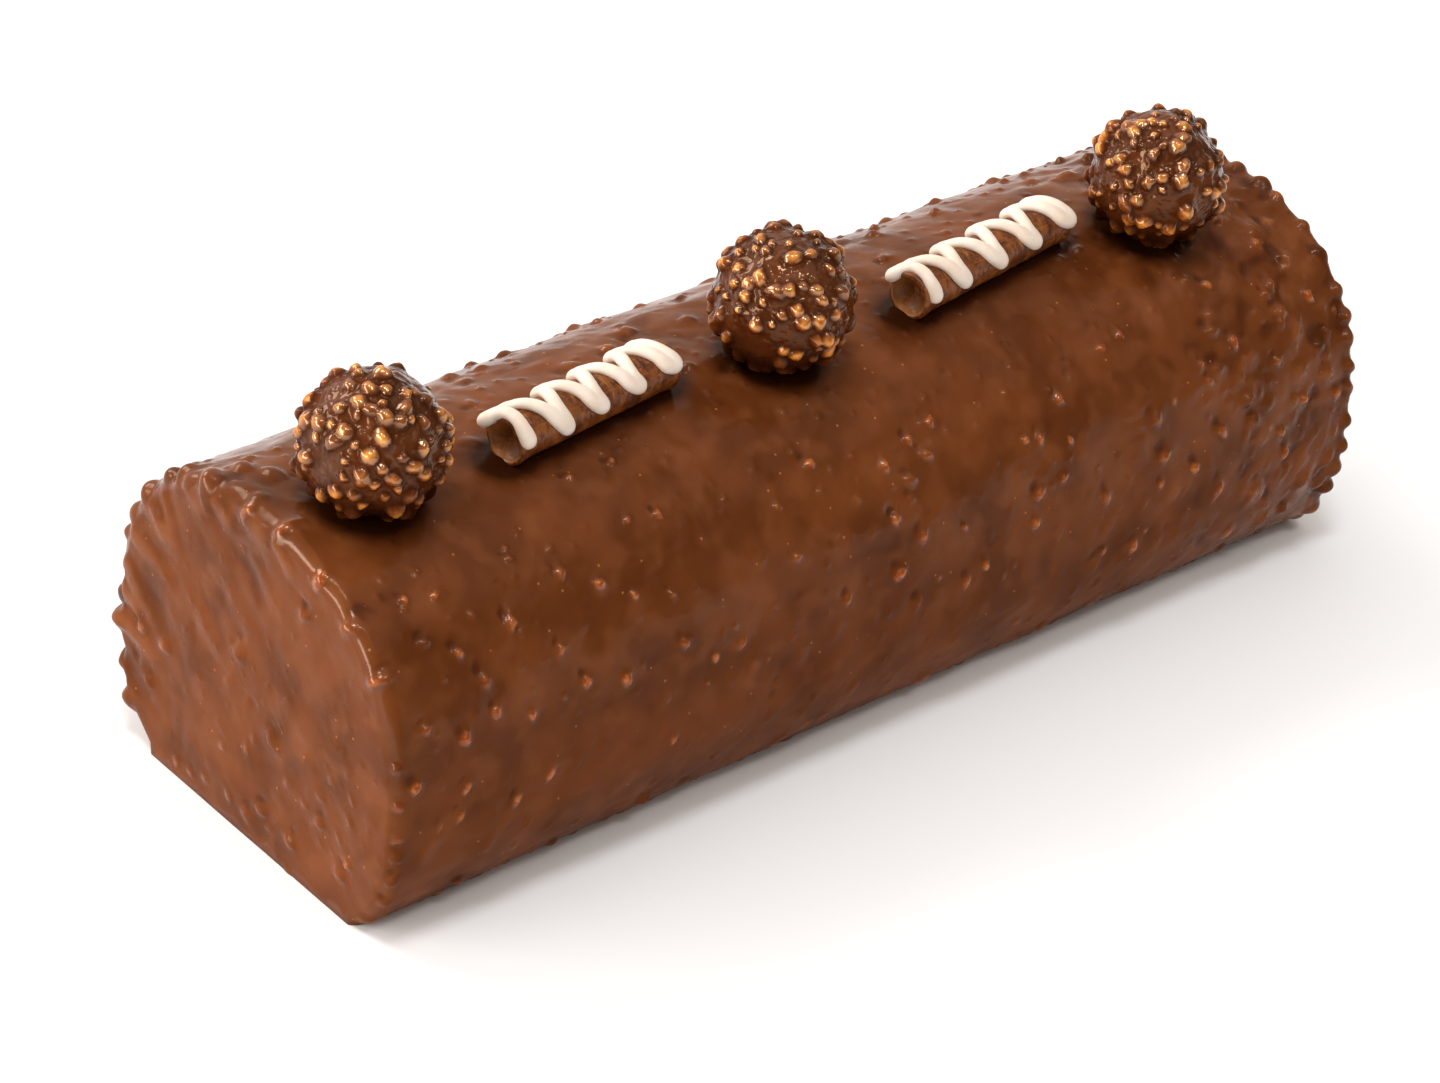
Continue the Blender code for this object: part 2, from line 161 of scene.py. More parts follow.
# Over what distance the painted shade round a topping's foot fades.
TOPPING_SHADE = 0.0021

# Nuts spread by chance: how many, how far apart, their radii and heights, and whether they also
# lie where the photograph shows the glaze plainly. The last ones keep to the right of an X.
SIDE_NUTS = (
    (300, 0.0062, (0.0012, 0.0022), (0.0006, 0.0013), False),
    (1000, 0.0030, (0.0006, 0.0013), (0.00010, 0.00044), True),
    (64, 0.0050, (0.0013, 0.0021), (0.0006, 0.0013), True, 0.088),
)
FACE_NUTS = (
    (26, 0.0080, (0.0013, 0.0019), (0.0004, 0.0010), False),
    (110, 0.0032, (0.0005, 0.0009), (0.00006, 0.00022), True),
)
EDGE_NUT_SPACING = 0.0062
FOOT_NUT_SPACING = 0.0042
END_MARGIN = 0.003
# Below this height the nuts on the sides are drawn out the way that the glaze ran.
DRAWN_OUT_HEIGHT = 0.034
# The photograph shows the side plainly in front of, above and to the left of these.
CLEAR_FRONT, CLEAR_FOOT, CLEAR_RIGHT = -0.012, 0.008, 0.11
# How wide the low skirt of a nut is, and how far its bump is looked for, against its radius.
NUT_SKIRT = 2.0
NUT_REACH = NUT_SKIRT * 1.15

# Nut balls: each one's place along the roll and in front of its ridge.
BALL_CORE_RADIUS = 0.0144
BALL_SUNK = 0.0015
BALL_PLACES = {"left": (-0.1122, 0.0068), "middle": (-0.0108, 0.0080), "right": (0.0940, 0.0106)}
# The core's unevenness: heights, and lengths of the noise as shares of the core's radius.
BALL_UNEVEN = ((0.0005, 0.5), (0.00034, 0.21), (0.00016, 0.075))
BALL_INSET = 0.0004
BALL_NUTS = 136
BALL_NUT_RADII = (0.0020, 0.0018, 0.0016, 0.0013, 0.0010)
BALL_NUT_SPACING = 0.0024
BALL_SKIRT_LIMIT = 0.0011
BALL_DIVISIONS = 7

# Wafer rolls: where each axis starts and ends.
WAFER_RADIUS = 0.0051
WAFER_WALL = 0.0011
WAFER_FLARE = 0.0003
WAFER_HOLLOW_DEPTH = 0.0020
WAFER_SUNK = 0.0008
WAFER_SEAM = 0.00030
WAFER_SEAM_TURN = 0.9
WAFER_RIM_UNEVEN = 0.0006
WAFER_RIM_REACH = 0.0035
WAFER_WOBBLE = 0.00016
WAFER_WOBBLE_LENGTH = 0.010
WAFER_HOLLOW_SHARES = (0.08, 0.25, 0.42, 0.58, 0.72, 0.84, 0.92, 0.97, 0.995)
WAFER_PLACES = {
    "left": ((-0.0823, 0.0098), (-0.0379, 0.0048)),
    "right": ((0.0232, 0.0106), (0.0718, 0.0042)),
}

# The icing's zigzag: its front turns, as places along each wafer with degrees from its top.
ICING_FRONT_TURNS = {
    "left": ((0.0015, 68), (0.0120, 80), (0.0219, 72), (0.0324, 68), (0.0430, 61)),
    "right": ((0.0026, 74), (0.0125, 77), (0.0245, 76), (0.0362, 73), (0.0483, 65)),
}
# Its way from one front turn over the back to the next, as shares of the pitch with degrees.
ICING_LOOP = (
    (-0.07, 47), (-0.03, 15), (0.09, -20), (0.13, -44), (0.22, -58), (0.34, -40), (0.46, -17),
    (0.56, 4), (0.68, 29), (0.79, 53),
)
ICING_START = ((-0.02, 44), (0.00, 17), (-0.01, -14), (-0.12, -38), (-0.24, -52), (-0.10, -50))
ICING_END = ((-0.08, 34), (-0.18, 9), (-0.25, -16), (-0.28, -44), (-0.30, -58))
ICING_RADIUS = 0.00150
ICING_TURN_RADIUS = 0.00178
ICING_FLATNESS = 0.80
ICING_LIFT = 0.00030
ICING_VOXEL = 0.00022

# How finely the wafers and the icing's path are divided.
WAFER_AROUND = 160
WAFER_BODY_STEPS = 90
WAFER_RIM_STEPS = 8
ICING_STEPS = 9
BEAD_DIVISIONS = 3

# How strongly the glaze and the balls reflect, where they are dullest and where glossiest.
GLAZE_GLOSS = (0.050, 0.60)
BALL_GLOSS = (0.20, 1.0)

# The suns: the way to each, its strength, how wide its disc is in degrees, and its colour.
SUNS = {
    "left": ((-0.93, 0.14, 0.30), 0.38, 60, (1, 1, 1)),
    "top": ((0.12, -0.25, 0.94), 0.68, 70, (1, 1, 1)),
    "key": ((-0.18, -0.12, 0.97), 0.9, 13, (1, 1, 1)),
    "back": ((-0.22, 0.76, 0.61), 1.25, 26, (1.0, 0.95, 0.88)),
    "glint": ((0.12, -0.50, 0.86), 0.45, 9, (1.0, 0.95, 0.86)),
}

RANDOM_SEED = 7
NOISE_ORDER = np.tile(np.random.default_rng(RANDOM_SEED).permutation(256), 3)
NOISE_SLOPES = np.random.default_rng(RANDOM_SEED + 1).normal(size=(256, 3))
NOISE_SLOPES /= np.linalg.norm(NOISE_SLOPES, axis=1, keepdims=True)


# --- the roll's bare form

def frame_shift():
    """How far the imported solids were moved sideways: the middle of the underside's flat."""
    low = [v.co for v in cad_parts["glazed_roll"].data.vertices if v.co.z < 1e-5]
    middle = [(min(c[k] for c in low) + max(c[k] for c in low)) / 2 for k in (0, 1)]
    return Vector((*middle, 0))


SHIFT = frame_shift()


def way_along(path):
    """How far along a path each of its points is."""
    return np.concatenate([[0], np.cumsum(np.linalg.norm(np.diff(path, axis=0), axis=1))])


def arch(steps):
    """The section from foot to foot over the top, evenly spaced: rows of (y, z), and normals."""
    power = 2 / ARCH_POWER
    foot_angle = math.acos(-((WIDEST_HEIGHT / LOWER_RADIUS) ** (1 / power)))
    angle = np.linspace(-foot_angle, foot_angle, ARCH_SAMPLES)
    side, up = np.sin(angle), np.cos(angle)
    radius = np.where(up > 0, ROLL_HEIGHT - WIDEST_HEIGHT, LOWER_RADIUS)
    fine = np.stack(
        [
            ROLL_HALF_WIDTH * np.sign(side) * np.abs(side) ** power,
            WIDEST_HEIGHT + radius * np.sign(up) * np.abs(up) ** power,
        ],
        axis=1,
    )
    along = way_along(fine)
    wanted = np.linspace(0, along[-1], steps + 1)
    points = np.stack([np.interp(wanted, along, fine[:, k]) for k in (0, 1)], axis=1)
    run = np.gradient(points, axis=0)
    normals = np.stack([-run[:, 1], run[:, 0]], axis=1)
    normals /= np.linalg.norm(normals, axis=1, keepdims=True)
    points[[0, -1], 1] = 0
    return points, normals


SECTION, SECTION_NORMALS = arch(SECTION_STEPS)


def surface_at(x, forward):
    """The bare glaze's point and outward normal at a place along the roll and before its ridge."""
    rise = ROLL_HEIGHT - WIDEST_HEIGHT
    share = abs(forward) / ROLL_HALF_WIDTH
    height = rise * (1 - share**ARCH_POWER) ** (1 / ARCH_POWER)
    slope = -math.copysign(share ** (ARCH_POWER - 1) / ROLL_HALF_WIDTH, forward)
    normal = Vector((0, slope, (height / rise) ** (ARCH_POWER - 1) / rise)).normalized()
    return Vector((x, -forward, WIDEST_HEIGHT + height)) + SHIFT, normal


def roll_grid():
    """The bare roll, end to end, as one loop after another: points and outward normals."""
    points, normals = arch(ARCH_STEPS)
    under = np.linspace(points[-1, 0], points[0, 0], UNDERSIDE_STEPS + 1)[1:-1]
    loop = np.concatenate([points, np.stack([under, np.zeros_like(under)], axis=1)])
    outward = np.concatenate([normals, np.tile([0.0, -1.0], (len(under), 1))])
    on_floor = loop[:, 1] == 0
    front = smooth_step(-loop[:, 0], *EDGE_ROUNDING_CHANGE)
    rounding = EDGE_ROUNDING_BACK + (EDGE_ROUNDING_FRONT - EDGE_ROUNDING_BACK) * front
    middle = np.array([0, FACE_MIDDLE_HEIGHT])
    feet = [0, len(points) - 1]
    rows = []

    def drawn_in(inset):
        """The loop moved inwards, its underside kept flat between the moved feet."""
        section = loop - outward * inset[:, None]
        across = np.interp(loop[on_floor, 0], loop[feet, 0], section[feet, 0])
        section[on_floor] = np.column_stack([across, np.zeros(len(across))])
        return section

    def station(x, section, lean):
        level = np.cos(lean)[:, None] * outward
        rows.append((np.column_stack([x, section]), np.column_stack([np.sin(lean), level])))

    def rounded(angle, facing):
        inset = rounding * (1 - math.cos(angle) ** (2 / ROUNDING_POWER))
        x = facing * (HALF_LENGTH - rounding * (1 - math.sin(angle) ** (2 / ROUNDING_POWER)))
        station(x, drawn_in(inset), np.full(len(loop), facing * angle))

    def face(facing, shares):
        rim = drawn_in(rounding)
        for share in shares:
            section = middle + (rim - middle) * share
            place = np.column_stack([np.full(len(loop), facing * HALF_LENGTH), section])
            rows.append((place, np.tile([float(facing), 0, 0], (len(loop), 1))))

    shares = np.linspace(LEAST_FACE_SHARE, 1, FACE_STEPS, endpoint=False)
    turns = np.linspace(math.pi / 2, 0, ROUNDING_STEPS, endpoint=False)
    face(-1, shares)
    for angle in turns:
        rounded(angle, -1)
    for share in np.linspace(-1, 1, LENGTH_STEPS + 1):
        station(share * (HALF_LENGTH - rounding), loop, np.zeros(len(loop)))
    for angle in turns[::-1]:
        rounded(angle, 1)
    face(1, shares[::-1])
    places, normals = (np.array(part) for part in zip(*rows))
    return places, normals


# --- the photograph's view

def camera_axes():
    """The camera's right, up and backward directions."""
    azimuth, elevation, roll = CAMERA_AZIMUTH, CAMERA_ELEVATION, CAMERA_ROLL
    level = Vector((math.sin(azimuth), -math.cos(azimuth), 0)) * math.cos(elevation)
    back = level + Vector((0, 0, math.sin(elevation)))
    right = Vector((math.cos(azimuth), math.sin(azimuth), 0))
    up = back.cross(right)
    across = right * math.cos(roll) + up * math.sin(roll)
    return across, up * math.cos(roll) - right * math.sin(roll), back


def seen_at(column, row):
    """The bare roll's point and outward normal that the photograph shows at a pixel."""
    across, up, back = camera_axes()
    sideways = (column - IMAGE_WIDTH / 2) / FOCAL_PIXELS
    upward = (IMAGE_HEIGHT / 2 - row) / FOCAL_PIXELS
    ray = across * sideways + up * upward - back
    start, run = SECTION[:-1], np.diff(SECTION, axis=0)
    origin = np.array(CAMERA_PLACE[1:])
    step = np.array(ray[1:])
    gap = start - origin
    crossed = step[0] * run[:, 1] - step[1] * run[:, 0]
    reach = (gap[:, 0] * run[:, 1] - gap[:, 1] * run[:, 0]) / crossed
    share = (gap[:, 0] * step[1] - gap[:, 1] * step[0]) / crossed
    x = CAMERA_PLACE.x + reach * ray.x
    hits = (share >= 0) & (share <= 1) & (np.abs(x) <= HALF_LENGTH) & (reach > 0)
    if hits.any():
        k = int(np.argmin(np.where(hits, reach, np.inf)))
        if (SECTION_NORMALS[k] @ step) < 0:
            return (x[k], *(start[k] + run[k] * share[k])), (0, *SECTION_NORMALS[k])
    reach = (-HALF_LENGTH - CAMERA_PLACE.x) / ray.x
    return tuple(CAMERA_PLACE + ray * reach), (-1, 0, 0)


# --- relief

def noise_at(points, length, seed=0.0):
    """Smooth noise of about that wavelength at each point, from -1 to 1."""
    spots = points / length + seed
    cell = np.floor(spots).astype(int)
    inside = spots - cell
    ease = inside**3 * (inside * (inside * 6 - 15) + 10)
    total = np.zeros(len(spots))
    for corner in itertools.product((0, 1), repeat=3):
        weight = np.prod(np.where(corner, ease, 1 - ease), axis=1)
        x, y, z = ((cell + corner) & 255).T
        slope = NOISE_SLOPES[NOISE_ORDER[NOISE_ORDER[NOISE_ORDER[x] + y] + z]]
        total += weight * np.sum(slope * (inside - corner), axis=1)
    return 1.5 * total


def smooth_step(value, low, high):
    """Rises smoothly from 0 at the low value to 1 at the high one."""
    share = np.clip((value - low) / (high - low), 0, 1)
    return share * share * (3 - 2 * share)


def topping_room(points, ball_share, wafer_share):
    """How far each point of the upper half is from the nearest topping's foot, seen from above.

    The foot's size is given as a share of the ball's and the wafer's radius.
    """
    def foot(spot):
        return np.array((surface_at(*spot)[0] - SHIFT)[:2])

    flat = points[:, :2]
    rooms = []
    for place in BALL_PLACES.values():
        rooms.append(np.linalg.norm(flat - foot(place), axis=1) - BALL_CORE_RADIUS * ball_share)
    for start, end in WAFER_PLACES.values():
        first, run = foot(start), foot(end) - foot(start)
        share = np.clip((flat - first) @ run / (run @ run), 0, 1)
        nearest = first + share[:, None] * run
        rooms.append(np.linalg.norm(flat - nearest, axis=1) - WAFER_RADIUS * wafer_share)
    return np.where(points[:, 2] > ROLL_HEIGHT / 2, np.min(rooms, axis=0), 1.0)


def join_height(layer, where, height):
    """Adds a height to some of a layer's points, rounding where the two meet."""
    layer[where] = (layer[where] ** 2 + height**2) ** 0.5


def lift_to(layer, where, value):
    """Raises some of a layer's points to a value where they are lower."""
    layer[where] = np.maximum(layer[where], value)


def search_tree(points):
    """A tree that finds points by their place, and tells their index."""
    tree = kdtree.KDTree(len(points))
    for index, point in enumerate(points):
        tree.insert(point, index)
    tree.balance()
    return tree


def found_near(tree, place, reach):
    return [index for _, index, _ in tree.find_range(place, reach)]


class Nut:
    """A chopped nut under the glaze: an uneven oval bump, and how thin the glaze is over it."""

    def __init__(self, place, outward, radius, height, rng, stretch=1.0, thin=None, run=None):
        self.place, self.outward = Vector(place), Vector(outward).normalized()
        if run is None:
            side = self.outward.orthogonal().normalized()
            self.side = Matrix.Rotation(rng.uniform(0, math.pi), 3, self.outward) @ side
            stretch *= rng.uniform(1.0, 1.25)
        else:
            self.side = (run - self.outward * run.dot(self.outward)).normalized()
        self.other = self.outward.cross(self.side)
        above = Vector((-0.4 * (1 - abs(self.outward.x)), 0, 1))
        self.above = (above - self.outward * above.dot(self.outward)).normalized()
        self.radii = (radius * stretch, radius / stretch**0.5)
        self.height = height
        self.lobes = rng.choice((2, 3, 3, 4))
        self.phase = rng.uniform(0, 2 * math.pi)
        self.unevenness = rng.uniform(0.02, 0.12)
        drawn = rng.gauss(0.25, 0.30)
        self.thin = max(0.0, drawn) if thin is None else thin

    def shape(self, offsets):
        """The squares of the offsets from its place, measured in its uneven radii."""
        a = offsets @ np.array(self.side) / self.radii[0]
        b = offsets @ np.array(self.other) / self.radii[1]
        out = offsets @ np.array(self.outward) / (2.5 * self.radii[0])
        reach = 1 + self.unevenness * np.sin(self.lobes * np.arctan2(b, a) + self.phase)
        return (a * a + b * b) / reach**2 + out * out

    def bump(self, offsets):
        """The bump's height at offsets from its place: a bead on a low wide skirt, from 0 to 1."""
        q2 = self.shape(offsets)
        skirt = np.clip(1 - q2 / NUT_SKIRT**2, 0, 1) ** 2
        return 0.72 * np.clip(1 - q2, 0, 1) ** 1.25 + 0.28 * skirt


def spaced(points, spacing):
    """Which points to keep so that none is nearer than that to one kept before."""
    kept, cells = [], {}
    for index, point in enumerate(points):
        cell = tuple(int(c // spacing) for c in point)
        near = (
            other
            for step in itertools.product((-1, 0, 1), repeat=3)
            for other in cells.get(tuple(c + d for c, d in zip(cell, step)), ())
        )
        if all(np.linalg.norm(point - other) > spacing for other in near):
            cells.setdefault(cell, []).append(point)
            kept.append(index)
    return kept


def in_clear_view(point, outward):
    """Whether the photograph shows that place of the front or the left end plainly."""
    clear = point[0] < CLEAR_RIGHT and point[1] < CLEAR_FRONT and point[2] > CLEAR_FOOT
    return outward[0] == -1 or (outward[0] == 0 and clear)


def downhill(outward):
    """The way that glaze ran down a side."""
    down = Vector((0, 0, -1))
    down = (down - outward * down.dot(outward)).normalized()
    return (down + Vector((-SIDE_SLANT, 0, 0))).normalized()


def side_nuts(rng, count, spacing, radii, heights, everywhere, least_x=-1.0):
    """Nuts spread over the sides and the top."""
    most = HALF_LENGTH - END_MARGIN
    least = max(least_x, -most)
    picks = [rng.randrange(len(SECTION)) for _ in range(count * 4)]
    places = np.array([(rng.uniform(least, most), *SECTION[k]) for k in picks])
    for index in spaced(places, spacing)[:count]:
        outward = Vector((0, *SECTION_NORMALS[picks[index]]))
        low = places[index][2] < DRAWN_OUT_HEIGHT and rng.random() < 0.8
        run = downhill(outward) if low else None
        stretch = rng.uniform(1.3, 1.9) if low else 1.0
        height = rng.uniform(*heights)
        nut = Nut(places[index], outward, rng.uniform(*radii), height, rng, stretch, run=run)
        if everywhere or not in_clear_view(places[index], outward):
            yield nut


def face_nuts(rng, count, spacing, radii, heights, everywhere):
    """Nuts spread over the two ends."""
    middle = np.array([0, FACE_MIDDLE_HEIGHT])
    for facing in (-1, 1):
        places = []
        for _ in range(count * 4):
            rim = SECTION[rng.randrange(len(SECTION))]
            y, z = middle + (rim - middle) * math.sqrt(rng.uniform(0, 0.92))
            places.append((facing * HALF_LENGTH, y, z))
        places = np.array(places)
        for index in spaced(places, spacing)[:count]:
            outward = (facing, 0, 0)
            nut = Nut(places[index], outward, rng.uniform(*radii), rng.uniform(*heights), rng, 1.15)
            if everywhere or not in_clear_view(places[index], outward):
                yield nut


def edge_nuts(rng):
    """Nuts that scallop the two end edges: low at the left end's front, bold at its lower back."""
    for facing in (-1, 1):
        place = rng.uniform(0.2, 1) * EDGE_NUT_SPACING
        while place / SECTION_STEP < len(SECTION):
            k = int(place / SECTION_STEP)
            (y, z), (across, up) = SECTION[k], SECTION_NORMALS[k]
            lean = Vector((facing * 0.5, across, up)).normalized()
            radius = rng.uniform(0.0019, 0.0028)
            height = radius * rng.uniform(0.50, 0.74)
            inset = rng.uniform(0.0012, 0.0030)
            if facing == -1 and y > 0 and z < 0.036:
                height *= 1.5
                radius *= 1.2
            if facing == -1 and y < 0.012:
                radius *= 0.55
                height *= 0.5 if z < 0.046 else 0
                inset = 0.0008
            nut = Nut((facing * (HALF_LENGTH - inset), y, z), lean, radius, height, rng)
            if z > 0.002 and height > 0:
                yield nut
            place += EDGE_NUT_SPACING * rng.uniform(0.65, 1.5)


def foot_nuts(rng):
    """Small nuts along both feet."""
    for side in (0, -1):
        y, (across, up) = SECTION[side, 0], SECTION_NORMALS[side]
        x = -HALF_LENGTH + END_MARGIN
        while x < HALF_LENGTH - END_MARGIN:
            height = rng.uniform(0.0012, 0.0050)
            spot = (x, y + math.copysign(0.5 * height, y), height)
            lean = Vector((0, across, max(up, -0.3))).normalized()
            radius = rng.uniform(0.0009, 0.0020)
            yield Nut(spot, lean, radius, rng.uniform(0.0002, 0.0009), rng, 1.0, rng.random())
            x += FOOT_NUT_SPACING * rng.uniform(0.5, 1.7)


def seen_nuts(rng):
    """The nuts that the photograph shows plainly, where it shows them."""
    for column, row, radius in NUTS_SEEN:
        place, outward = seen_at(column, row)
        outward = Vector(outward)
        on_end = outward[0] == -1
        height = radius * rng.uniform(0.64, 0.84)
        thin = min(1.0, max(0.3, rng.gauss(0.8, 0.22)))
        if radius > 1.6:
            height = radius * rng.uniform(0.50, 0.62)
            thin = rng.uniform(0.25, 0.55)
        if radius < 1.15 and on_end:
            height *= 0.6
        low = place[2] < DRAWN_OUT_HEIGHT and not on_end
        run = downhill(outward) if low else None
        stretch = 1.35 if low else 1.08
        if on_end:
            radius, thin = radius * 1.2, thin * 0.6
        yield Nut(place, outward, radius * 1.10 / 1000, height / 1000, rng, stretch, thin, run)


def all_nuts():
    rng = random.Random(RANDOM_SEED)
    yield from seen_nuts(rng)
    for spread in SIDE_NUTS:
        yield from side_nuts(rng, *spread)
    for spread in FACE_NUTS:
        yield from face_nuts(rng, *spread)
    yield from edge_nuts(rng)
    yield from foot_nuts(rng)


def nut_relief(points, nuts):
    """The nuts' joint height at each point less the pits, how far one shows, and the hollows."""
    tree = search_tree(points)
    height, shows, hollows = (np.zeros(len(points)) for _ in range(3))
    for nut in nuts:
        found = found_near(tree, nut.place, nut.radii[0] * NUT_REACH)
        if not found:
            continue
        offsets = points[found] - np.array(nut.place)
        bump = nut.bump(offsets)
        join_height(height, found, nut.height * bump)
        lift_to(shows, found, nut.thin * bump * min(nut.height / 0.0006, 1))
        above = nut.bump(offsets - np.array(nut.above) * nut.radii[0] * 1.3) * (1 - bump)
        lift_to(hollows, found, above * min(nut.height / 0.0009, 1))
    for column, row, radius in PITS_SEEN:
        place = Vector(seen_at(column, row)[0])
        found = found_near(tree, place, radius * 1.7 / 1000)
        gap = np.linalg.norm(points[found] - np.array(place), axis=1) * 1000 / (radius * 1.6)
        height[found] -= PIT_DEPTH * np.clip(1 - gap**2, 0, 1) ** 2
    return height - HOLLOW_DEPTH * hollows, shows, hollows


def run_path(rng, start, heading, length, sway):
    """A run's path on a flat part: it keeps to its heading there, swaying a little."""
    path, drift = [np.array(start)], 0.0
    for _ in range(int(length / RUN_STEP)):
        drift = 0.93 * drift + rng.gauss(0, sway)
        angle = heading(path[-1]) + drift
        path.append(path[-1] + RUN_STEP * np.array([math.cos(angle), math.sin(angle)]))
    return np.array(path)


def add_run(relief, flat, path, width, height):
    """Raises the relief along a run of glaze: round across, widening, and fading at its end."""
    low, high = path.min(axis=0) - 1.4 * width, path.max(axis=0) + 1.4 * width
    near = np.flatnonzero(np.all((flat > low) & (flat < high), axis=1))
    if len(path) < 3 or not len(near):
        return
    start, step = path[:-1], np.diff(path, axis=0)
    offset = flat[near, None] - start
    share = np.clip(np.sum(offset * step, axis=2) / np.sum(step * step, axis=1), 0, 1)
    gap = np.linalg.norm(offset - share[..., None] * step, axis=2)
    nearest = gap.argmin(axis=1)
    every = np.arange(len(near))
    along = (nearest + share[every, nearest]) / len(step)
    across = gap[every, nearest] / (width * (0.75 + 0.6 * along))
    shape = np.clip(1 - across**2, 0, 1) ** 1.6
    fade = smooth_step(along, -0.02, 0.12) * (1 - smooth_step(along, 0.45, 1.0))
    join_height(relief, near, height * shape * fade)


def face_heading(spot):
    """The angle at which glaze ran down an end: aslant to the front, a little less at the back."""
    back = float(smooth_step(spot[0], -0.010, 0.040))
    return -math.pi / 2 - math.radians(50 - 8 * back)


def face_runs(rng):
    """Runs down an end from its rim, and a few that start within it: flat Y and Z."""
    place = 0.0
    while place / SECTION_STEP < len(SECTION):
        y, z = SECTION[int(place / SECTION_STEP)]
        place += RIM_RUN_SPACING * rng.uniform(0.6, 1.5)
        upper = float(smooth_step(0.75 * z + 0.66 * y, 0.010, 0.050))
        if y > -0.012 and z > 0.012:
            length = rng.uniform(0.005, 0.012) + 0.012 * upper * rng.random()
            height = rng.uniform(0.0002, 0.0005) + 0.0002 * upper
            path = run_path(rng, (y * 0.97, z * 0.97), face_heading, length, 0.15)
            yield path, rng.uniform(0.0024, 0.0044), height
    for _ in range(FACE_RUNS):
        share = math.sqrt(rng.uniform(0, 0.7))
        y, z = SECTION[rng.randrange(len(SECTION))] * share
        height = rng.uniform(0.00010, 0.00028)
        path = run_path(rng, (y, z + 0.012), face_heading, rng.uniform(0.004, 0.012), 0.18)
        yield path, rng.uniform(0.0018, 0.0038), height


def side_runs(rng, length):
    """Runs down the sides, many of them near the right end: flat X and way along the section."""
    def heading(spot):
        way = -math.pi / 2 if spot[1] < length / 2 else math.pi / 2
        return way - math.copysign(SIDE_SLANT, -way)

    for _ in range(SIDE_RUNS):
        right = rng.random() < 0.42
        x = rng.uniform(0.098, 0.130) if right else rng.uniform(-0.125, 0.11)
        up = rng.uniform(0.025, 0.075) if right else rng.uniform(0.012, 0.040)
        along = up if rng.random() < 0.5 else length - up
        path = run_path(rng, (x, along), heading, rng.uniform(0.004, 0.011), 0.10)
        height = rng.uniform(0.00015, 0.00045) * (1.2 if right else 1.0)
        yield path, rng.uniform(0.0016, 0.0031), height


def run_relief(points, normals):
    """The ridges of glaze that ran down the ends and the sides."""
    rng = random.Random(RANDOM_SEED + 1)
    relief = np.zeros(len(points))
    along = way_along(SECTION)
    for facing in (-1, 1):
        face = np.flatnonzero(normals[:, 0] * facing > 0.25)
        part = np.zeros(len(face))
        for path, width, height in face_runs(rng):
            add_run(part, points[face][:, 1:], path, width, height)
        relief[face] = part * smooth_step(normals[face, 0] * facing, 0.25, 0.8)
    side = np.flatnonzero((np.abs(normals[:, 0]) < 0.3) & (points[:, 2] > 0))
    tree = search_tree([(0, y, z) for y, z in SECTION])
    spots, which = np.unique(points[side, 1:].round(6), axis=0, return_inverse=True)
    ways = np.array([along[tree.find((0, y, z))[1]] for y, z in spots])[which.ravel()]
    flat = np.stack([points[side, 0], ways], axis=1)
    part = np.zeros(len(side))
    for path, width, height in side_runs(rng, along[-1]):
        add_run(part, flat, path, width, height)
    relief[side] = part
    return relief


def roll_relief(points, normals):
    """How far the glaze stands out at each point, and what its look follows there.

    That is how far nuts show through it, whether it is a hollow or a ridge (painted as shade or
    highlight), how close a topping is (for painted shade round it), and how glossy it is.
    """
    level = smooth_step(np.abs(normals[:, 0]), 0.3, 0.9)
    back = smooth_step(points[:, 1], -0.014, 0.020)
    high = smooth_step(points[:, 2], 0.02, 0.06)
    right = smooth_step(points[:, 0], 0.06, 0.12)
    height = WAVE_HEIGHT * noise_at(points, WAVE_LENGTH)
    warp = np.stack([noise_at(points, WARP_LENGTH, seed) for seed in (1.1, 5.2, 8.3)], axis=1)
    warped = points + WARP_REACH * warp
    ripple = noise_at(warped, RIPPLE_LENGTH, 11.3)
    ripple = ripple + 0.4 * noise_at(warped, RIPPLE_LENGTH / 2.1, 4.7)
    rough = np.maximum(0.72 + 0.16 * back * high, 0.72 + 0.75 * right) * (1 - 0.35 * level)
    fine = RIPPLE_HEIGHT * ripple * rough + run_relief(points, normals)
    streak = noise_at(points @ FACE_STREAK_AXES * FACE_STREAK_SCALE, FACE_STREAK_WIDTH, 21.7)
    upper = smooth_step(0.66 * points[:, 1] + 0.75 * points[:, 2], 0.012, 0.052)
    fine += FACE_STREAK_HEIGHT * streak * level * (0.06 + 0.94 * upper)
    fine += SKIN_HEIGHT * noise_at(warped, SKIN_LENGTH, 3.1)
    edge = np.sin(2 * np.arcsin(np.clip(np.abs(normals[:, 0]), 0, 1))) * high
    rim = edge * smooth_step(-points[:, 1], 0.0, 0.009)
    fine *= 1 - 0.7 * rim
    rim *= smooth_step(-normals[:, 0], 0.36, 0.58)
    nuts, shows, hollows = nut_relief(points, list(all_nuts()))
    room = smooth_step(topping_room(points, 0.55, 0.5), -0.002, 0.006)
    # Painted shadow and painted dark reflection round each topping's foot, fading outwards.
    shade = np.exp(-np.clip(topping_room(points, 0.72, 0.95), 0, None) / TOPPING_SHADE)
    foot = smooth_step(points[:, 2], -0.002, 0.011)
    relief = ((height + fine) * foot + nuts * (0.4 + 0.6 * foot)) * room
    shiny = 0.13 * level + (0.27 * high + 0.18 * right * (1 - high)) * (1 - level)
    shiny += 0.55 * rim + 0.26 * edge * back + 1.2 * shows**1.5 * room
    follows = {
        "nut_shows": shows * room * (1 - 0.45 * back * high),
        # Hollows and ridges of the relief, and the hollows above nuts, which the glaze's colour
        # paints as shade and highlight.
        "raised": fine / RIPPLE_HEIGHT - 0.8 * hollows * room,
        # Darkens the glaze's colour round the toppings: painted shadow and painted reflection.
        "painted_topping_shade": np.clip(1.25 * shade, 0, 1),
        "gloss": np.clip(shiny, 0, 1),
    }
    return relief, follows


def new_object(name, data):
    made = bpy.data.objects.new(name, data)
    bpy.context.scene.collection.objects.link(made)
    return made


